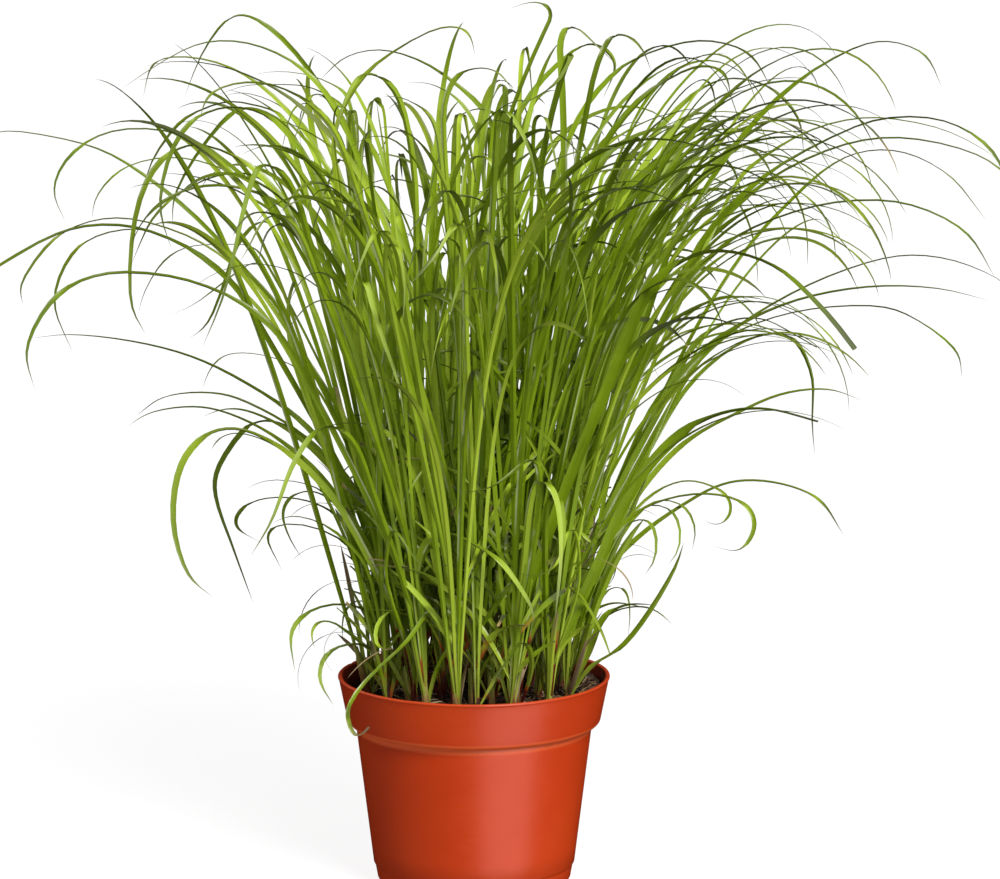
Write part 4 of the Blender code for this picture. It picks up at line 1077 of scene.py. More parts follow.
def right_leaf(root, rng):
    """A long thin leaf that arches over to the right, where the tuft is at its widest."""
    return drawn_leaf("right", root, rng.gauss(0.0, RIGHT_SCATTER), rng)


def low_right_leaf(root, rng):
    """A thin leaf that leans far out to the right and hangs there."""
    return drawn_leaf("low right", root, rng.gauss(0.0, RIGHT_SCATTER), rng)


def hair_leaf(root, rng):
    """A long hair-thin leaf that arches right over the crown."""
    return drawn_leaf("hair", root, outwards(root, HAIR_SCATTER, rng), rng)


def parting_point(leaves, rng, heights):
    """A place low on one of a shoot's leaves."""
    course, _ = rng.choice(leaves)
    return course[min(round(rng.uniform(*heights) / SAMPLE_STEP), len(course) - 2)]


def peeling_leaf(root, leaves, rng):
    """A short leaf that parts from the stem and hangs across the base of the tuft."""
    heading = rng.choice((0.0, math.pi)) + rng.gauss(0.0, PEEL_SCATTER)
    return drawn_leaf("peeling", parting_point(leaves, rng, PEEL_HEIGHTS), heading, rng)


def hanging_leaf(root, leaves, rng):
    """A short leaf that parts from a stem, comes forward and hangs before the others."""
    heading = -math.pi / 2 + rng.gauss(0.0, FRONT_SCATTER)
    return drawn_leaf("hanging", parting_point(leaves, rng, FRONT_HEIGHTS), heading, rng)


def stub_leaf(root, leaves, rng):
    """A young or broken leaf, short and nearly straight, that stands up from the peat."""
    course = arching_course(root, rng.uniform(-math.pi, math.pi), rng.uniform(*STUB_LEAN),
                            rng.uniform(*STUB_LENGTHS), rng.uniform(*STUB_DROOP), STUB_POWER, 0.0)
    return course, rng.uniform(*STUB_WIDTHS)


def wisp_leaf(root, leaves, rng):
    """A hair-thin dry leaf that curls out of the edge of the tuft just above the rim."""
    heading = outwards(root, WISP_SCATTER, rng)
    return drawn_leaf("wisp", parting_point(leaves, rng, PEEL_HEIGHTS), heading, rng)


def left_is_thin(course):
    """Whether a leaf keeps out of the left side, where the tuft is thin below its crown."""
    side, flare, crown = LEFT_EDGE
    return inside_reach(course) and all(
        point.x > side - flare * max(0.0, point.z - crown) for point in course)


def passes_right(course, side, low, high, hang, reach):
    """Whether a leaf passes over the right side between two heights, within the reach of the tuft, and
    hangs no lower there than a third."""
    return any(point.x > side and point.z > low for point in course) and all(
        point.x < reach and abs(point.y) < RIGHT_DEPTH and point.z < high
        and (point.z > hang or point.x < spread_limit(point.z)) for point in course)


def over_right_crown(course):
    """Whether a leaf arches through the high right of the crown."""
    return passes_right(course, *RIGHT_CROWN)


def below_right_crown(course):
    """Whether a leaf hangs over the right side below the crown."""
    return passes_right(course, *RIGHT_LOW)


def ended_at_peat(course, spread):
    """A short leaf's course as far as it keeps over the pot and off the peat."""
    for number, point in enumerate(course):
        if number > 3 and (point.xy.length > spread or point.z < peat_height(point.x, point.y) + BASE_GAP):
            return course[:number]
    return course


def grow_at_base(tuft, rng, rounds, new_leaf, spread, chosen):
    """Grow short leaves low on the chosen shoots. They lie among the others' stems as they may."""
    grown = []
    for _ in range(rounds):
        for shoot in chosen:
            for _ in range(FILL_TRIES):
                course, width = new_leaf(tuft.roots[shoot], tuft.leaves[shoot][:LEAVES_PER_SHOOT], rng)
                course = ended_at_peat(course, spread)
                if SAMPLE_STEP * len(course) > BASE_SHORTEST and clear_of_pot(course[4:]):
                    tuft.leaves[shoot].append((course, width))
                    grown.append(course)
                    break
    return grown


def grow_filling(tuft, rng, rounds, new_leaf, fits, chosen):
    """Grow a round of leaves over the chosen shoots at a time, each the freest of a few tries."""
    for _ in range(rounds):
        grown = [freest(tuft, tries(tuft, shoot, new_leaf, fits, rng, FILL_TRIES), ENOUGH_ROOM)
                 for shoot in chosen]
        tuft.add([best[1:] for best in grown if best])


def make_sheath_blank():
    """A straight sheath, one unit long along Y: a thin tube that narrows to a slanting mouth."""
    blank = start_disc("sheath_blank", SHEATH_SIDES, 1.0, standing=True)
    before = 0.0
    for after, size in SHEATH_ROWS:
        extrude_to(size, size, before, after)
        before = after
    close_body()
    for name in ("along", "across"):
        values = blank.data.attributes.new(name, "FLOAT", "POINT")
        for vert, item in zip(blank.data.vertices, values.data):
            item.value = vert.co.y if name == "along" else math.atan2(vert.co.z, vert.co.x) / math.pi
    for vert in blank.data.vertices:
        if vert.co.y > SHEATH_MOUTH_FROM:
            vert.co.y += SHEATH_MOUTH_SLANT * vert.co.x
    return blank


def place_sheath(blank, foot, top, radius, rng):
    """A copy of the straight sheath, stood from a foot to a top and a little crooked."""
    sheath = copy_of(blank, "sheath")
    way = (top - foot).normalized()
    side = way.orthogonal().normalized()
    side = Matrix.Rotation(rng.uniform(0.0, 2 * math.pi), 3, way) @ side
    other = side.cross(way)
    length = (top - foot).length
    for vert in sheath.data.vertices:
        x, y, z = vert.co
        vert.co = foot + way * (y * length) + side * (x * radius) - other * (z * radius)
    mark_all(sheath.data, "tone", rng.random())
    mark_all(sheath.data, "dryness", rng.random())
    return sheath


def arc(centre, radius, start, end, steps):
    """Points of a rounded corner in the pot's outline."""
    return [(centre[0] + radius * math.cos(math.radians(start + (end - start) * step / steps)),
             centre[1] + radius * math.sin(math.radians(start + (end - start) * step / steps)))
            for step in range(steps + 1)]


def straight(start, end, steps):
    """Points along a straight part of an outline, without its two ends."""
    return [(start[0] + (end[0] - start[0]) * step / steps, start[1] + (end[1] - start[1]) * step / steps)
            for step in range(1, steps)]


def turn_up(name, outline, sides):
    """A round body, from a disc drawn out along an outline of (radius, height) points. The disc that
    starts it closes one end, and the last one closes the other."""
    radius, height = outline[0]
    body = start_disc(name, sides, radius, height)
    for next_radius, next_height in outline[1:]:
        rise = (0.0, 0.0, next_height - height)
        bpy.ops.mesh.extrude_region_move(TRANSFORM_OT_translate={"value": rise})
        size = next_radius / radius
        bpy.ops.transform.resize(value=(size, size, 1.0), center_override=(0.0, 0.0, next_height))
        radius, height = next_radius, next_height
    close_body()
    return body


def pot_outline():
    """The pot's outline, from the disc under its base, up the outside, over the lip and down inside."""
    collar_top = RIM_RADIUS - LIP_PROUD
    lip_foot = POT_HEIGHT - LIP_HEIGHT
    body_foot = (BODY_FOOT_RADIUS, FOOT_BAND_Z + FOOT_STEP)
    body_top = (BODY_TOP_RADIUS, SHOULDER_FOOT_Z)
    collar_foot = (COLLAR_FOOT_RADIUS, COLLAR_FOOT_Z)
    under_lip, over_lip = [(collar_top + out, lip_foot + up) for out, up in LIP_EDGE]
    outline = [(FOOT_RING_RADIUS, BASE_RECESS), (FOOT_RING_RADIUS + FOOT_EDGE, FOOT_EDGE),
               (FOOT_RING_RADIUS + BASE_RECESS / 2, 0.0)]
    outline += arc((FOOT_RADIUS - FOOT_ROUNDING, FOOT_ROUNDING), FOOT_ROUNDING, -90, 0, 5)
    outline += [(BODY_FOOT_RADIUS - FOOT_STEP - BAND_EDGE[0], FOOT_BAND_Z - FOOT_EDGE),
                (BODY_FOOT_RADIUS - FOOT_STEP, FOOT_BAND_Z),
                (BODY_FOOT_RADIUS - BAND_EDGE[1], FOOT_BAND_Z + FOOT_EDGE)]
    outline += [body_foot] + straight(body_foot, body_top, 7) + [body_top]
    outline += [(BODY_TOP_RADIUS + out, SHOULDER_FOOT_Z + up) for out, up in SHOULDER_EDGE]
    outline += [(COLLAR_FOOT_RADIUS - back, COLLAR_FOOT_Z - down) for back, down in COLLAR_EDGE]
    outline += [collar_foot] + straight(collar_foot, under_lip, 6) + [under_lip, over_lip]
    outline += arc((RIM_RADIUS - LIP_ROUNDING, POT_HEIGHT - LIP_ROUNDING), LIP_ROUNDING, -20, 90, 5)
    outline += arc((collar_top - POT_WALL + INNER_LIP_ROUNDING, POT_HEIGHT - INNER_LIP_ROUNDING),
                   INNER_LIP_ROUNDING, 90, 180, 3)
    inner = [(inner_radius(COLLAR_FOOT_Z), COLLAR_FOOT_Z + INNER_SHOULDER_RISE),
             (inner_radius(SHOULDER_FOOT_Z), SHOULDER_FOOT_Z + INNER_SHOULDER_RISE),
             (inner_radius(floor_height()), floor_height())]
    outline += straight(outline[-1], inner[0], 4) + [inner[0], inner[1]]
    outline += straight(inner[1], inner[2], 4) + [inner[2], (FLOOR_DISC, floor_height())]
    return outline


def make_pot():
    """The pot, with the small unevenness of a thin moulded lip."""
    pot = turn_up("nursery_pot", pot_outline(), POT_SIDES)
    for vert in pot.data.vertices:
        if vert.co.z < POT_HEIGHT - LIP_HEIGHT * 0.9:
            continue
        around = Vector((vert.co.x, vert.co.y, 0.0)).normalized()
        wave = noise.noise(around * LIP_WAVE_SCALE + Vector((3.1, 0.0, 0.0)))
        nick = max(0.0, noise.noise(around * LIP_NICK_SCALE + Vector((0.0, 5.0, 0.0))) - LIP_NICK_FROM)
        vert.co.z += LIP_WAVE * (wave - 0.5) - LIP_NICK * nick
        vert.co -= around * (LIP_NICK * 0.5 * nick)
    smooth_shade(pot, POT_CREASE)
    return pot


def smooth_shade(piece, crease):
    """Shade a piece smooth, with an edge where it turns by more than the crease angle."""
    select_only([piece])
    bpy.ops.object.shade_smooth_by_angle(angle=crease)


def peat_height(x, y):
    """Height of the peat's fine surface: the solid's mound, banked up at the wall, with lumps and
    hollows."""
    rough = 0.0
    for scale, share in PEAT_OCTAVES:
        rough += share * noise.noise(Vector((x * scale, y * scale, scale)))
    radius = math.hypot(x, y)
    bank = PEAT_BANK + PEAT_BANK_SIDE * x / max(radius, 0.001)
    bank *= eased(radius, PEAT_BANK_FROM, inner_radius(SOIL_EDGE_Z) - SOIL_WALL_GAP)
    return soil_height(x, y) + rough + bank


def make_peat():
    """The peat body, with a lumpy top that crumbles down to the pot's wall."""
    floor = floor_height() + CLEARANCE
    edge = inner_radius(SOIL_EDGE_Z) - SOIL_WALL_GAP
    rise = INNER_SHOULDER_RISE + CLEARANCE
    outline = [(FLOOR_DISC, floor), (inner_radius(floor) - SOIL_WALL_GAP - CLEARANCE, floor),
               (inner_radius(SHOULDER_FOOT_Z) - SOIL_WALL_GAP, SHOULDER_FOOT_Z + rise),
               (inner_radius(COLLAR_FOOT_Z) - SOIL_WALL_GAP - CLEARANCE, COLLAR_FOOT_Z + rise),
               (edge, SOIL_EDGE_Z)]
    outline += [(edge * (1.0 - ring / PEAT_RINGS), SOIL_EDGE_Z) for ring in range(1, PEAT_RINGS)]
    peat = turn_up("peat", outline, PEAT_SIDES)
    for vert in peat.data.vertices:
        if vert.co.z > SOIL_EDGE_Z - CLEARANCE / 2:
            vert.co.z = peat_height(vert.co.x, vert.co.y)
    mark_all(peat.data, "tone", PEAT_TONE)
    return peat


def mark_all(mesh, name, value):
    """Give every point of a mesh the same value of an attribute."""
    values = mesh.attributes.get(name) or mesh.attributes.new(name, "FLOAT", "POINT")
    for item in values.data:
        item.value = value


def make_crumb_blanks():
    """Three lumps of peat, each dented its own way."""
    blanks = []
    for number in range(3):
        deselect_all()
        bpy.ops.mesh.primitive_ico_sphere_add(subdivisions=2 if number == 0 else 1, radius=1.0,
                                              location=(0, 0, 0))
        crumb = bpy.context.object
        crumb.name = f"crumb_blank_{number}"
        for vert in crumb.data.vertices:
            dent = noise.noise(vert.co * CRUMB_DENT_SCALE + Vector((number * 7.0, 0.0, 0.0)))
            vert.co *= 1.0 + CRUMB_DENTS * dent
        blanks.append(crumb)
    return blanks


def place_on_peat(edge, rng):
    """A place on the peat within an edge, more likely near the pot's wall than in the middle."""
    radius, angle = edge * rng.random() ** CRUMB_SPREAD, rng.uniform(0.0, 2 * math.pi)
    return radius * math.cos(angle), radius * math.sin(angle)


def scatter_crumbs(blanks, rng):
    """Lumps and flat chips over the peat, with more and smaller ones towards the pot's wall."""
    edge = inner_radius(SOIL_EDGE_Z) - CRUMB_WALL_GAP
    crumbs = []
    for number in range(CRUMB_COUNT):
        blank = blanks[0 if number < LARGE_CRUMBS else 1 + number % 2]
        size = rng.uniform(*LARGE_CRUMB_SIZES) if number < LARGE_CRUMBS else rng.uniform(*CRUMB_SIZES)
        x, y = place_on_peat(edge - size, rng)
        flat = rng.uniform(*CRUMB_FLATNESS)
        turn = Matrix.Rotation(rng.uniform(0.0, 2 * math.pi), 3, "Z")
        turn = turn @ Matrix.Rotation(rng.gauss(0.0, CRUMB_TILT), 3, "X")
        place = Vector((x, y, peat_height(x, y) + size * flat * CRUMB_LIFT))
        crumb = copy_of(blank, "crumb")
        stretch = rng.uniform(*CRUMB_STRETCH)
        for vert in crumb.data.vertices:
            shaped = Vector((vert.co.x * size * stretch, vert.co.y * size, vert.co.z * size * flat))
            vert.co = place + turn @ shaped
        mark_all(crumb.data, "tone", rng.random() ** CRUMB_TONE_POWER)
        crumbs.append(crumb)
    return crumbs


def scatter_fibres(blank, rng):
    """Pale root fibres and dead bits of leaf, lying curled on the peat."""
    edge = inner_radius(SOIL_EDGE_Z) - CRUMB_WALL_GAP
    fibres = []
    for _ in range(FIBRE_COUNT):
        length = rng.uniform(*FIBRE_LENGTHS)
        x, y = place_on_peat(edge - FIBRE_STEP, rng)
        heading, bend = rng.uniform(0.0, 2 * math.pi), rng.uniform(-FIBRE_BEND, FIBRE_BEND)
        lift = rng.uniform(*FIBRE_LIFTS)
        course = []
        count = max(6, round(length / FIBRE_STEP))
        for number in range(count + 1):
            if math.hypot(x, y) > edge:
                break
            height = peat_height(x, y) + FIBRE_REST + lift * math.sin(math.pi * (number / count))
            course.append(Vector((x, y, height)))
            x += FIBRE_STEP * math.cos(heading)
            y += FIBRE_STEP * math.sin(heading)
            heading += bend * FIBRE_STEP + rng.gauss(0.0, FIBRE_WANDER)
        if len(course) >= FIBRE_FEWEST_POINTS:
            fibres.append(bend_leaf(blank, FIBRE_ROWS, course, rng.uniform(*FIBRE_WIDTHS), rng, False))
    return fibres


def join(name, items):
    """Join finished meshes into one piece."""
    select_only(items)
    bpy.ops.object.join()
    piece = bpy.context.view_layer.objects.active
    piece.name = name
    piece.data.name = name
    return piece


class Finish:
    """A material in the making: its node tree, with short ways to add the nodes that it needs."""

    def __init__(self, name, roughness):
        self.material = bpy.data.materials.new(name)
        self.material.use_nodes = True
        self.tree = self.material.node_tree
        self.shader = self.tree.nodes["Principled BSDF"]
        self.shader.inputs["Roughness"].default_value = roughness
        self.place = self.tree.nodes.new("ShaderNodeTexCoord").outputs["Object"]
        self.colour = None

    def feed(self, socket, value):
        """Link an output to a socket, or set the socket to a plain value."""
        if isinstance(value, bpy.types.NodeSocket):
            self.tree.links.new(value, socket)
        elif isinstance(value, tuple) and len(value) == 3 and socket.type == "RGBA":
            socket.default_value = (*value, 1.0)
        else:
            socket.default_value = value

    def add(self, kind, output, inputs, **settings):
        """An output of a new node of some kind, with its settings and what its inputs are fed."""
        node = self.tree.nodes.new("ShaderNode" + kind)
        for label, value in settings.items():
            setattr(node, label, value)
        for label, value in inputs.items():
            self.feed(node.inputs[label], value)
        return node.outputs[output]

    def attribute(self, name):
        """A value that the piece's points carry."""
        return self.add("Attribute", "Fac", {}, attribute_name=name)

    def count(self, operation, first, second=0.0):
        """One sum on one or two values."""
        return self.add("Math", 0, {0: first, 1: second}, operation=operation)

    def times(self, first, *others):
        """The product of some values."""
        for other in others:
            first = self.count("MULTIPLY", first, other)
        return first

    def plus(self, first, *others):
        """The sum of some values."""
        for other in others:
            first = self.count("ADD", first, other)
        return first

    def span(self, value, low, high, to_low=0.0, to_high=1.0):
        """A value brought from one range to another, with soft ends."""
        ends = {"From Min": low, "From Max": high, "To Min": to_low, "To Max": to_high}
        return self.add("MapRange", "Result", {"Value": value, **ends}, interpolation_type="SMOOTHSTEP")

    def cloud(self, where, scale, detail=4.0, rough=0.55):
        """Noise over a place, about 0.5."""
        return self.add("TexNoise", "Fac", {"Vector": where, "Scale": scale, "Detail": detail,
                                            "Roughness": rough})

    def pack(self, x, y, z):
        """A place made of three values."""
        return self.add("CombineXYZ", "Vector", {"X": x, "Y": y, "Z": z})

    def unpack(self, where):
        """The three values of a place."""
        node = self.tree.nodes.new("ShaderNodeSeparateXYZ")
        self.feed(node.inputs[0], where)
        return node.outputs[0], node.outputs[1], node.outputs[2]

    def ramp(self, value, *stops):
        """Colours along a value, each with its position."""
        node = self.tree.nodes.new("ShaderNodeValToRGB")
        bands = node.color_ramp.elements
        while len(bands) < len(stops):
            bands.new(1.0)
        for band, (position, colour) in zip(bands, stops):
            band.position = position
            band.color = (*colour, 1.0)
        self.feed(node.inputs["Fac"], value)
        return node.outputs["Color"]

    def paint(self, share, colour):
        """Blend a colour over the finish's own, by a share."""
        node = self.tree.nodes.new("ShaderNodeMix")
        node.data_type = "RGBA"
        self.feed(node.inputs["Factor"], share)
        for name, value in (("A", self.colour), ("B", colour)):
            self.feed([s for s in node.inputs if s.name == name and s.type == "RGBA"][0], value)
        self.colour = [s for s in node.outputs if s.type == "RGBA"][0]

    def relief(self, height, strength, distance, **under):
        """Bump from a height, over the normal under it if there is one."""
        return self.add("Bump", "Normal", {"Strength": strength, "Distance": distance, "Height": height,
                                           **under})

    def set(self, label, value):
        """Feed one of the shader's own sockets."""
        self.feed(self.shader.inputs[label], value)


def leaf_finish():
    """Satin leaf: green that changes from leaf to leaf and along each, fine ribs, darker thin tips, painted
    shade on the crests, on outer hanging ends and where a leaf is seen edge-on, painted light on inner
    hanging ends and a painted sheen on some. Near the peat some leaves are dark red at the foot, with an
    orange band above it. A withered one is brown."""
    leaf = Finish("leaf_green", 0.42)
    along, across, tone, dryness, wither, crest = map(
        leaf.attribute, ("along", "across", "tone", "dryness", "wither", "crest"))
    x, _, z = leaf.unpack(leaf.place)
    patches = leaf.cloud(leaf.place, 38.0)
    shade = leaf.plus(leaf.times(tone, 0.66), leaf.times(patches, 0.42))
    leaf.colour = leaf.ramp(shade, (0.20, LEAF_DARK), (0.48, LEAF_MIDDLE), (0.76, LEAF_LIGHT))
    ribbed = leaf.pack(leaf.times(across, 7.0), leaf.times(along, 5.0), leaf.times(tone, 90.0))
    lines = leaf.cloud(ribbed, 3.4, 3.0)
    leaf.paint(leaf.span(lines, 0.40, 0.66, 0.0, 0.30), LEAF_RIB)
    # Some leaves have a painted sheen in stretches, on one side of the midrib: pale streaks painted in as a
    # highlight.
    chosen = leaf.span(leaf.count("FRACT", leaf.times(dryness, 13.7)), 0.58, 0.66)
    stretches = leaf.cloud(leaf.pack(leaf.times(along, 9.0), leaf.times(tone, 50.0), 0.0), 1.0)
    one_side = leaf.span(across, 0.10, 0.35)
    leaf.paint(leaf.times(chosen, leaf.span(stretches, 0.47, 0.58), one_side, 0.70), LEAF_PAINTED_SHEEN)
    # The crests get painted shade. Past them the hanging ends get painted light in the middle of the tuft,
    # and painted shade outside.
    leaf.paint(leaf.span(crest, 0.15, 1.0, 0.0, 0.58), LEAF_SHADE)
    hanging = leaf.times(leaf.span(along, 0.55, 0.85), leaf.span(crest, 0.1, 0.6, 1.0, 0.0))
    outer = leaf.span(leaf.count("ABSOLUTE", x), PAINTED_LIGHT_WITHIN, PAINTED_SHADE_FROM)
    leaf.paint(leaf.times(hanging, leaf.count("SUBTRACT", 1.0, outer), 0.34), LEAF_PAINTED_LIGHT)
    leaf.paint(leaf.times(hanging, outer, 0.62), LEAF_OUTER_SHADE)
    # The foot fades to yellow green. On some leaves it ends in an orange band above dark red.
    near_foot = leaf.span(along, 0.30, 0.42, 1.0, 0.0)
    leaf.paint(leaf.times(leaf.span(z, *FOOT_FADE_Z, 1.0, 0.0), near_foot, 0.55), LEAF_FOOT)
    red_top = leaf.span(dryness, RED_FOOT_FROM, 1.0, SOIL_EDGE_Z - 0.004, RED_FOOT_TOP)
    ragged = leaf.plus(leaf.times(lines, 0.006), leaf.times(patches, 0.060))
    above_red = leaf.count("SUBTRACT", z, leaf.plus(red_top, leaf.count("SUBTRACT", ragged, 0.030)))
    leaf.paint(leaf.times(leaf.span(above_red, 0.001, 0.008, 1.0, 0.0), near_foot), FOOT_ORANGE)
    leaf.paint(leaf.times(leaf.span(above_red, -0.004, 0.001, 1.0, 0.0), near_foot), FOOT_RED)
    # Seen edge-on, a leaf gets painted shade.
    edge_on = leaf.add("LayerWeight", "Facing", {})
    leaf.paint(leaf.span(edge_on, 0.66, 0.93, 0.0, 0.85), LEAF_EDGE_ON_SHADE)
    # The tips are darker, the driest ones dead, and withered leaves are brown.
    drier = leaf.span(dryness, 0.72, 1.0, 0.0, 0.30)
    leaf.paint(leaf.times(leaf.span(leaf.plus(along, drier), 0.86, 1.0), 0.72), LEAF_TIP)
    leaf.paint(leaf.times(leaf.span(dryness, 0.89, 0.93), leaf.span(along, 0.90, 0.965)), LEAF_DEAD)
    brown = leaf.ramp(shade, (0.20, WITHER_DARK), (0.80, WITHER_PALE))
    leaf.paint(leaf.span(leaf.plus(wither, leaf.times(along, 0.6)), 0.75, 1.05), brown)
    leaf.set("Base Color", leaf.colour)
    leaf.set("Roughness", leaf.span(lines, 0.3, 0.7, 0.30, 0.46))
    leaf.set("Normal", leaf.relief(lines, 0.35, 0.0002))
    leaf.set("Specular IOR Level", 0.14)
    return leaf.material


def sheath_finish():
    """Papery sheath: reddish brown at the foot, pale green at the mouth, with long fine veins."""
    sheath = Finish("reddish_sheath", 0.55)
    along, across, tone = map(sheath.attribute, ("along", "across", "tone"))
    veined = sheath.pack(sheath.times(across, 9.0), sheath.times(along, 2.0), sheath.times(tone, 60.0))
    veins = sheath.cloud(veined, 3.0, 3.0)
    reach = sheath.plus(along, sheath.times(sheath.count("SUBTRACT", tone, 0.5), 0.9),
                        sheath.times(sheath.count("SUBTRACT", veins, 0.5), 0.6))
    sheath.set("Base Color", sheath.ramp(reach, (0.05, SHEATH_DARK), (0.4, SHEATH_RED),
                                         (0.72, SHEATH_PALE), (1.0, LEAF_FOOT)))
    sheath.set("Normal", sheath.relief(veins, 0.4, 0.0003))
    return sheath.material


def plastic_finish():
    """Satin moulded plastic: an even orange red with faint clouding and scuffs, peat dust and painted shade
    inside, painted light under the collar and a painted highlight on the lip.
    """
    plastic = Finish("pot_plastic", 0.40)
    x, y, z = plastic.unpack(plastic.place)
    radius = plastic.count("SQRT", plastic.plus(plastic.times(x, x), plastic.times(y, y)))
    clouding = plastic.cloud(plastic.place, 22.0)
    grain = plastic.cloud(plastic.place, 900.0, 2.0)
    plastic.colour = plastic.ramp(clouding, (0.3, POT_DARK), (0.5, POT_RED), (0.72, POT_LIGHT))
    # The top edge of the lip is painted paler: a painted highlight.
    lip = plastic.span(z, POT_HEIGHT - 0.0009, POT_HEIGHT - 0.0001)
    plastic.paint(plastic.times(lip, 0.12), POT_LIP_HIGHLIGHT)
    # A band where the body meets the shoulder is painted lighter: painted light that lifts the shade under
    # the collar.
    above = plastic.span(z, SHOULDER_FOOT_Z - 0.0030, SHOULDER_FOOT_Z - 0.0008)
    below = plastic.span(z, COLLAR_FOOT_Z - 0.0008, COLLAR_FOOT_Z + 0.0006, 1.0, 0.0)
    plastic.paint(plastic.times(above, below), POT_PAINTED_LIGHT)
    # Over the collar's height, what lies nearer the axis than the middle of the wall is its inner side.
    wall = plastic.count("SUBTRACT", radius, plastic.times(z, INNER_SLOPE))
    inside = plastic.times(plastic.span(wall, INNER_FOOT + POT_WALL * 0.5, INNER_FOOT + POT_WALL * 0.3),
                           plastic.span(z, COLLAR_FOOT_Z, COLLAR_FOOT_Z + 0.002),
                           plastic.span(z, POT_HEIGHT - 0.0004, POT_HEIGHT - 0.0012))
    # Inside, peat dust and painted shade darken the wall, more towards the soil.
    specks = plastic.times(plastic.cloud(plastic.place, 160.0, 5.0), 0.30)
    dust_and_shade = plastic.plus(specks, plastic.span(z, POT_HEIGHT, SOIL_EDGE_Z, 0.32, 0.84))
    plastic.paint(plastic.times(inside, dust_and_shade), POT_DUST_AND_SHADE)
    plastic.set("Base Color", plastic.colour)
    flattened = plastic.add("Mapping", "Vector", {"Vector": plastic.place,
                                                  "Scale": (60.0, 60.0, 320.0)})
    scuffs = plastic.cloud(flattened, 2.2, 5.0)
    plastic.set("Roughness", plastic.span(scuffs, 0.3, 0.75, 0.30, 0.38))
    plastic.set("Specular IOR Level", 0.34)
    fine = plastic.relief(grain, 0.05, 0.0001)
    plastic.set("Normal", plastic.relief(clouding, 0.10, 0.0006, Normal=fine))
    return plastic.material


def peat_finish():
    """Moist dark peat, from near black to red brown, crumb by crumb."""
    peat = Finish("peat_soil", 0.88)
    fine = peat.cloud(peat.place, 420.0, 6.0, 0.65)
    coarse = peat.cloud(peat.place, 90.0, 4.0)
    shade = peat.plus(peat.times(peat.attribute("tone"), 0.55), peat.times(coarse, 0.5))
    peat.colour = peat.ramp(shade, (0.15, PEAT_BLACK), (0.5, PEAT_BROWN), (0.95, PEAT_RED))
    peat.paint(peat.span(fine, 0.60, 0.72, 0.0, 0.5), PEAT_SPECK)
    peat.set("Base Color", peat.colour)
    peat.set("Roughness", peat.span(coarse, 0.35, 0.65, 0.70, 0.95))
    peat.set("Normal", peat.relief(fine, 0.8, 0.0008))
    return peat.material


def fibre_finish():
    """Dry root fibre, straw to brown."""
    fibre = Finish("root_fibre", 0.75)
    streaks = fibre.cloud(fibre.place, 500.0, 3.0)
    shade = fibre.plus(fibre.times(fibre.attribute("tone"), 0.8), fibre.times(streaks, 0.25))
    fibre.set("Base Color", fibre.ramp(shade, (0.1, FIBRE_BROWN), (0.55, FIBRE_TAN), (0.95, FIBRE_PALE)))
    fibre.set("Normal", fibre.relief(streaks, 0.3, 0.0002))
    return fibre.material


def dress(piece, finish):
    """Give a mesh its one material."""
    piece.data.materials.clear()
    piece.data.materials.append(finish)


def courses_in(tuft):
    """The identities of the courses of all leaves placed so far."""
    return {id(course) for leaves in tuft.leaves for course, _ in leaves}


def plan_tuft(rng, fill_rng):
    """The tuft with all its leaves. With it come each shoot's solid leaves, the courses that the photo
    shows, how many leaves of each shoot are tall ones, and how withered the low ones are."""
    roots = root_points(rng)
    tuft = Tuft(roots)
    grow_far_leaves(tuft)
    grow_read_leaves(tuft, LEAF_COURSES, LEAVES_PER_SHOOT)
    seen = courses_in(tuft)
    grow_arching_leaves(tuft, rng, LEAVES_PER_SHOOT)
    solid = [list(leaves) for leaves in tuft.leaves]
    before = courses_in(tuft)
    grow_fine_leaves(tuft, FINE_COURSES)
    seen |= courses_in(tuft) - before

    shoots = range(SHOOT_COUNT)
    right = [shoot for shoot in shoots if roots[shoot].x > RIGHT_ROOTS_FROM]
    outer = [shoot for shoot in shoots if abs(roots[shoot].x) > WISP_SIDE]
    front = [shoot for shoot in shoots if roots[shoot].y < FRONT_DEPTH and roots[shoot].x > FRONT_SIDE]
    for rounds, new_leaf, fits, chosen in (
            (RIGHT_ROUNDS, right_leaf, over_right_crown, right),
            (LOW_RIGHT_ROUNDS, low_right_leaf, below_right_crown, right),
            (FILL_ROUNDS, fill_leaf, left_is_thin, shoots),
            (HAIR_ROUNDS, hair_leaf, inside_reach, shoots[::2])):
        grow_filling(tuft, fill_rng, rounds, new_leaf, fits, chosen)
    tall = [len(leaves) for leaves in tuft.leaves]
    wither = {}
    for rounds, new_leaf, spread, chosen, amounts in (
            (PEEL_ROUNDS, peeling_leaf, BASE_SPREAD, shoots, PEEL_WITHER),
            (FRONT_ROUNDS, hanging_leaf, BASE_SPREAD, front, PEEL_WITHER),
            (STUB_ROUNDS, stub_leaf, BASE_SPREAD, shoots, STUB_WITHER),
            (WISP_ROUNDS, wisp_leaf, WISP_SPREAD, outer, WISP_WITHER)):
        for course in grow_at_base(tuft, fill_rng, rounds, new_leaf, spread, chosen):
            wither[id(course)] = fill_rng.uniform(*amounts)
    return tuft, solid, seen, tall, wither


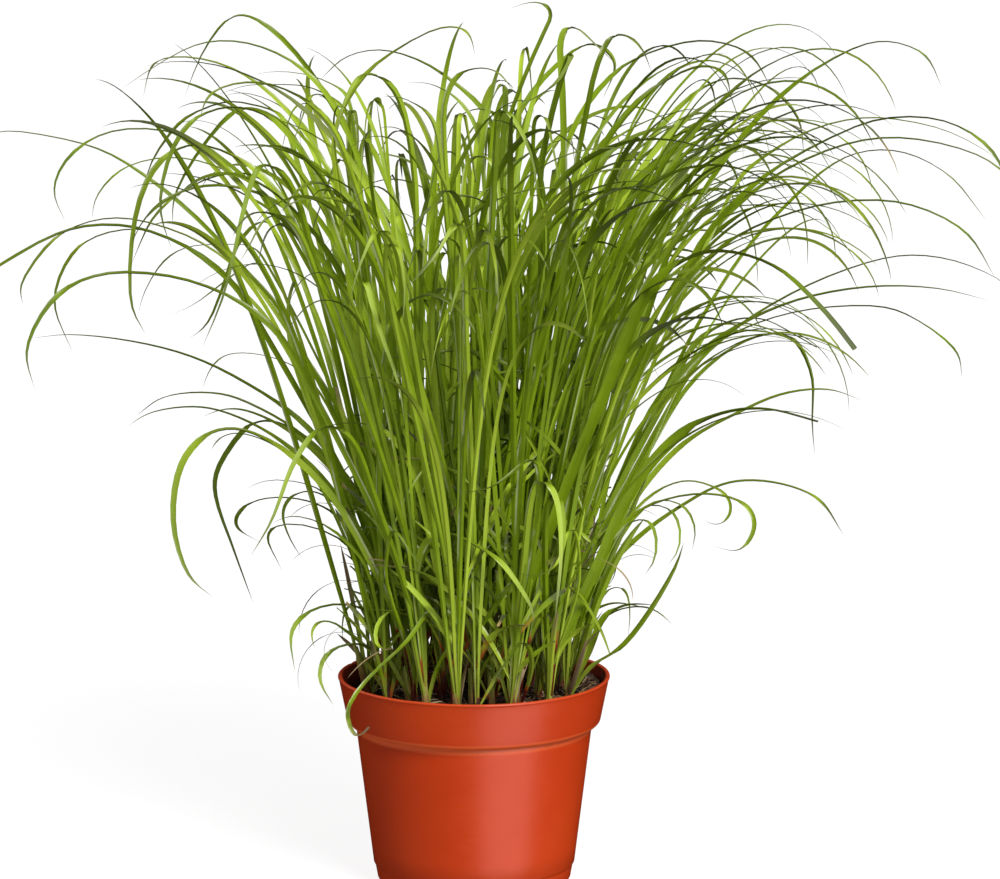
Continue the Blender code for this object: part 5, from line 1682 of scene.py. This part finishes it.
def make_blade(course, width, low, seen, wither, blanks, rng):
    """One fine leaf. The foot of a tall one is sunk into the peat, a little aside of its root. Some
    leaves end bluntly, and the one over the rim ends in its dry fold."""
    tip = course[-1]
    inner = tip.xy.length < BLUNT_WITHIN[0] and tip.z < BLUNT_WITHIN[1]
    chance = LOW_BLUNT_CHANCE if low else BLUNT_CHANCE if inner else 0.0
    broken = any(math.dist(to_photo(tip), end) < BROKEN_END_GAP for end in BROKEN_ENDS)
    blunt = broken or (not seen and rng.random() < chance)
    over_rim = math.dist(to_photo(tip), RIM_LEAF_END) < RIM_LEAF_END_GAP
    turn = rng.uniform(0.0, 2 * math.pi)
    offset = Vector((math.cos(turn), math.sin(turn), 0.0)) * rng.uniform(*FOOT_SPREAD)
    fine_width = width * rng.uniform(*FINE_WIDTHS) * (BROKEN_BREADTH if broken else 1.0)
    rows = BLANK_ROWS if SAMPLE_STEP * len(course) > SHORT_COURSE else SHORT_BLANK_ROWS
    if over_rim:
        course, fine_width, wither = with_dry_fold(course), RIM_LEAF_WIDTH, RIM_LEAF_WITHER
        rows, blunt = BLANK_ROWS, True
    if not low:
        count = max(2, round(FOOT_BLEND / SAMPLE_STEP))
        course = [point + (offset - SINK) * max(0.0, 1.0 - step / count)
                  for step, point in enumerate(course)]
    blade = bend_leaf(blanks[rows, blunt], rows, course, fine_width, rng, seen, wither)
    if over_rim:
        mark_all(blade.data, "tone", RIM_LEAF_TONE)
    return blade


def make_tuft(finishes):
    """The fans of leaves, one piece for each shoot."""
    rng, fill_rng = random.Random(SEED), random.Random(FILL_SEED)
    tuft, solid, seen, tall, wither = plan_tuft(rng, fill_rng)
    blanks = {(rows, blunt): make_blank("leaf_blank", rows, blunt)
              for rows in (BLANK_ROWS, SHORT_BLANK_ROWS) for blunt in (False, True)}
    sheath_blank = make_sheath_blank()
    for shoot, root in enumerate(tuft.roots):
        lean = sum(((point_at(course, SHEATH_LEAN_SHARE) - root).normalized()
                    for course, _ in solid[shoot]), Vector((0.0, 0.0, 0.0))).normalized()
        top = root + lean * rng.uniform(*SHEATH_HEIGHTS)
        blades = [make_blade(course, width, index >= tall[shoot], id(course) in seen,
                             wither.get(id(course), 0.0), blanks, fill_rng)
                  for index, (course, width) in enumerate(tuft.leaves[shoot])]
        for blade in blades:
            dress(blade, finishes["leaf"])
        sheath = place_sheath(sheath_blank, root - ROOT_DEPTH * SHEATH_SUNK_SHARE * UPRIGHT, top,
                              SHEATH_RADIUS * SHEATH_SLIMNESS, fill_rng)
        dress(sheath, finishes["sheath"])
        fan = join(f"fan_{shoot + 1:02d}", blades + [sheath])
        smooth_shade(fan, BLADE_CREASE)
        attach(fan, "root")
        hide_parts(f"shoot_{shoot + 1:02d}")
    for blank in (*blanks.values(), sheath_blank):
        bpy.data.objects.remove(blank)


def make_soil(finishes):
    """The peat with its crumbs and fibres, as one piece."""
    rng = random.Random(FILL_SEED)
    peat = make_peat()
    blanks = make_crumb_blanks()
    crumbs = scatter_crumbs(blanks, rng)
    thread = make_blank("thread_blank", FIBRE_ROWS, False)
    fibres = scatter_fibres(thread, rng)
    for item in [peat] + crumbs:
        dress(item, finishes["peat"])
    for fibre in fibres:
        dress(fibre, finishes["fibre"])
    for blank in blanks + [thread]:
        bpy.data.objects.remove(blank)
    soil = join("peat_surface", [peat] + crumbs + fibres)
    smooth_shade(soil, PEAT_CREASE)
    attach(soil, "root")
    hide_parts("soil")


def stand(name, data, place, turn):
    """A lamp or the camera, stood in its place."""
    item = bpy.data.objects.new(name, data)
    bpy.context.scene.collection.objects.link(item)
    item.location = place
    item.rotation_euler = turn
    return item


def aimed(place, aim):
    """The turn of a lamp that shines from its place to an aim."""
    return (Vector(aim) - Vector(place)).to_track_quat("-Z", "Y").to_euler()


def make_stage():
    """The pale floor, the soft studio light and the camera at the photo's angle."""
    deselect_all()
    bpy.ops.mesh.primitive_plane_add(size=FLOOR_SIZE, location=(0.0, 0.0, -0.0001))
    floor = bpy.context.object
    floor.name = "floor"
    settle(floor)
    paper = Finish("pale_floor", 0.9)
    paper.set("Base Color", (FLOOR_TONE, FLOOR_TONE, FLOOR_TONE))
    paper.set("Emission Color", (1.0, 1.0, 1.0))
    paper.set("Emission Strength", FLOOR_GLOW)
    dress(floor, paper.material)
    floor.visible_diffuse = False
    floor.visible_glossy = False
    floor.visible_shadow = False

    scene = bpy.context.scene
    scene.world = bpy.data.worlds.new("studio")
    scene.world.use_nodes = True
    sky = scene.world.node_tree.nodes["Background"].inputs
    sky["Color"].default_value = (1.0, 1.0, 1.0, 1.0)
    sky["Strength"].default_value = WORLD_STRENGTH
    scene.world.cycles_visibility.glossy = False
    for name, place, aim, size, power, lights_surfaces in LIGHTS:
        lamp = bpy.data.lights.new(name, "AREA")
        lamp.shape = "RECTANGLE"
        lamp.size, lamp.size_y = size
        lamp.energy = power
        item = stand(name, lamp, place, aimed(place, aim))
        item.visible_diffuse = lights_surfaces
    sun = bpy.data.lights.new("sun", "SUN")
    sun.energy = SUN_STRENGTH
    sun.angle = SUN_SPREAD
    stand("sun", sun, SUN_PLACE, aimed(SUN_PLACE, (0.0, 0.0, 0.0)))

    camera = bpy.data.cameras.new("photo_camera")
    camera.sensor_width = SENSOR_WIDTH
    camera.lens = PHOTO_FOCAL * SENSOR_WIDTH / PHOTO_WIDTH
    camera.clip_start = 0.01
    scene.camera = stand("photo_camera", camera, PHOTO_EYE, (math.radians(90) - PHOTO_PITCH, 0.0, 0.0))
    scene.view_settings.view_transform = "Standard"


make_stage()
finishes = {"leaf": leaf_finish(), "sheath": sheath_finish(), "peat": peat_finish(),
            "fibre": fibre_finish()}
nursery_pot = make_pot()
dress(nursery_pot, plastic_finish())
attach(nursery_pot, "root")
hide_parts("pot")
make_soil(finishes)
make_tuft(finishes)
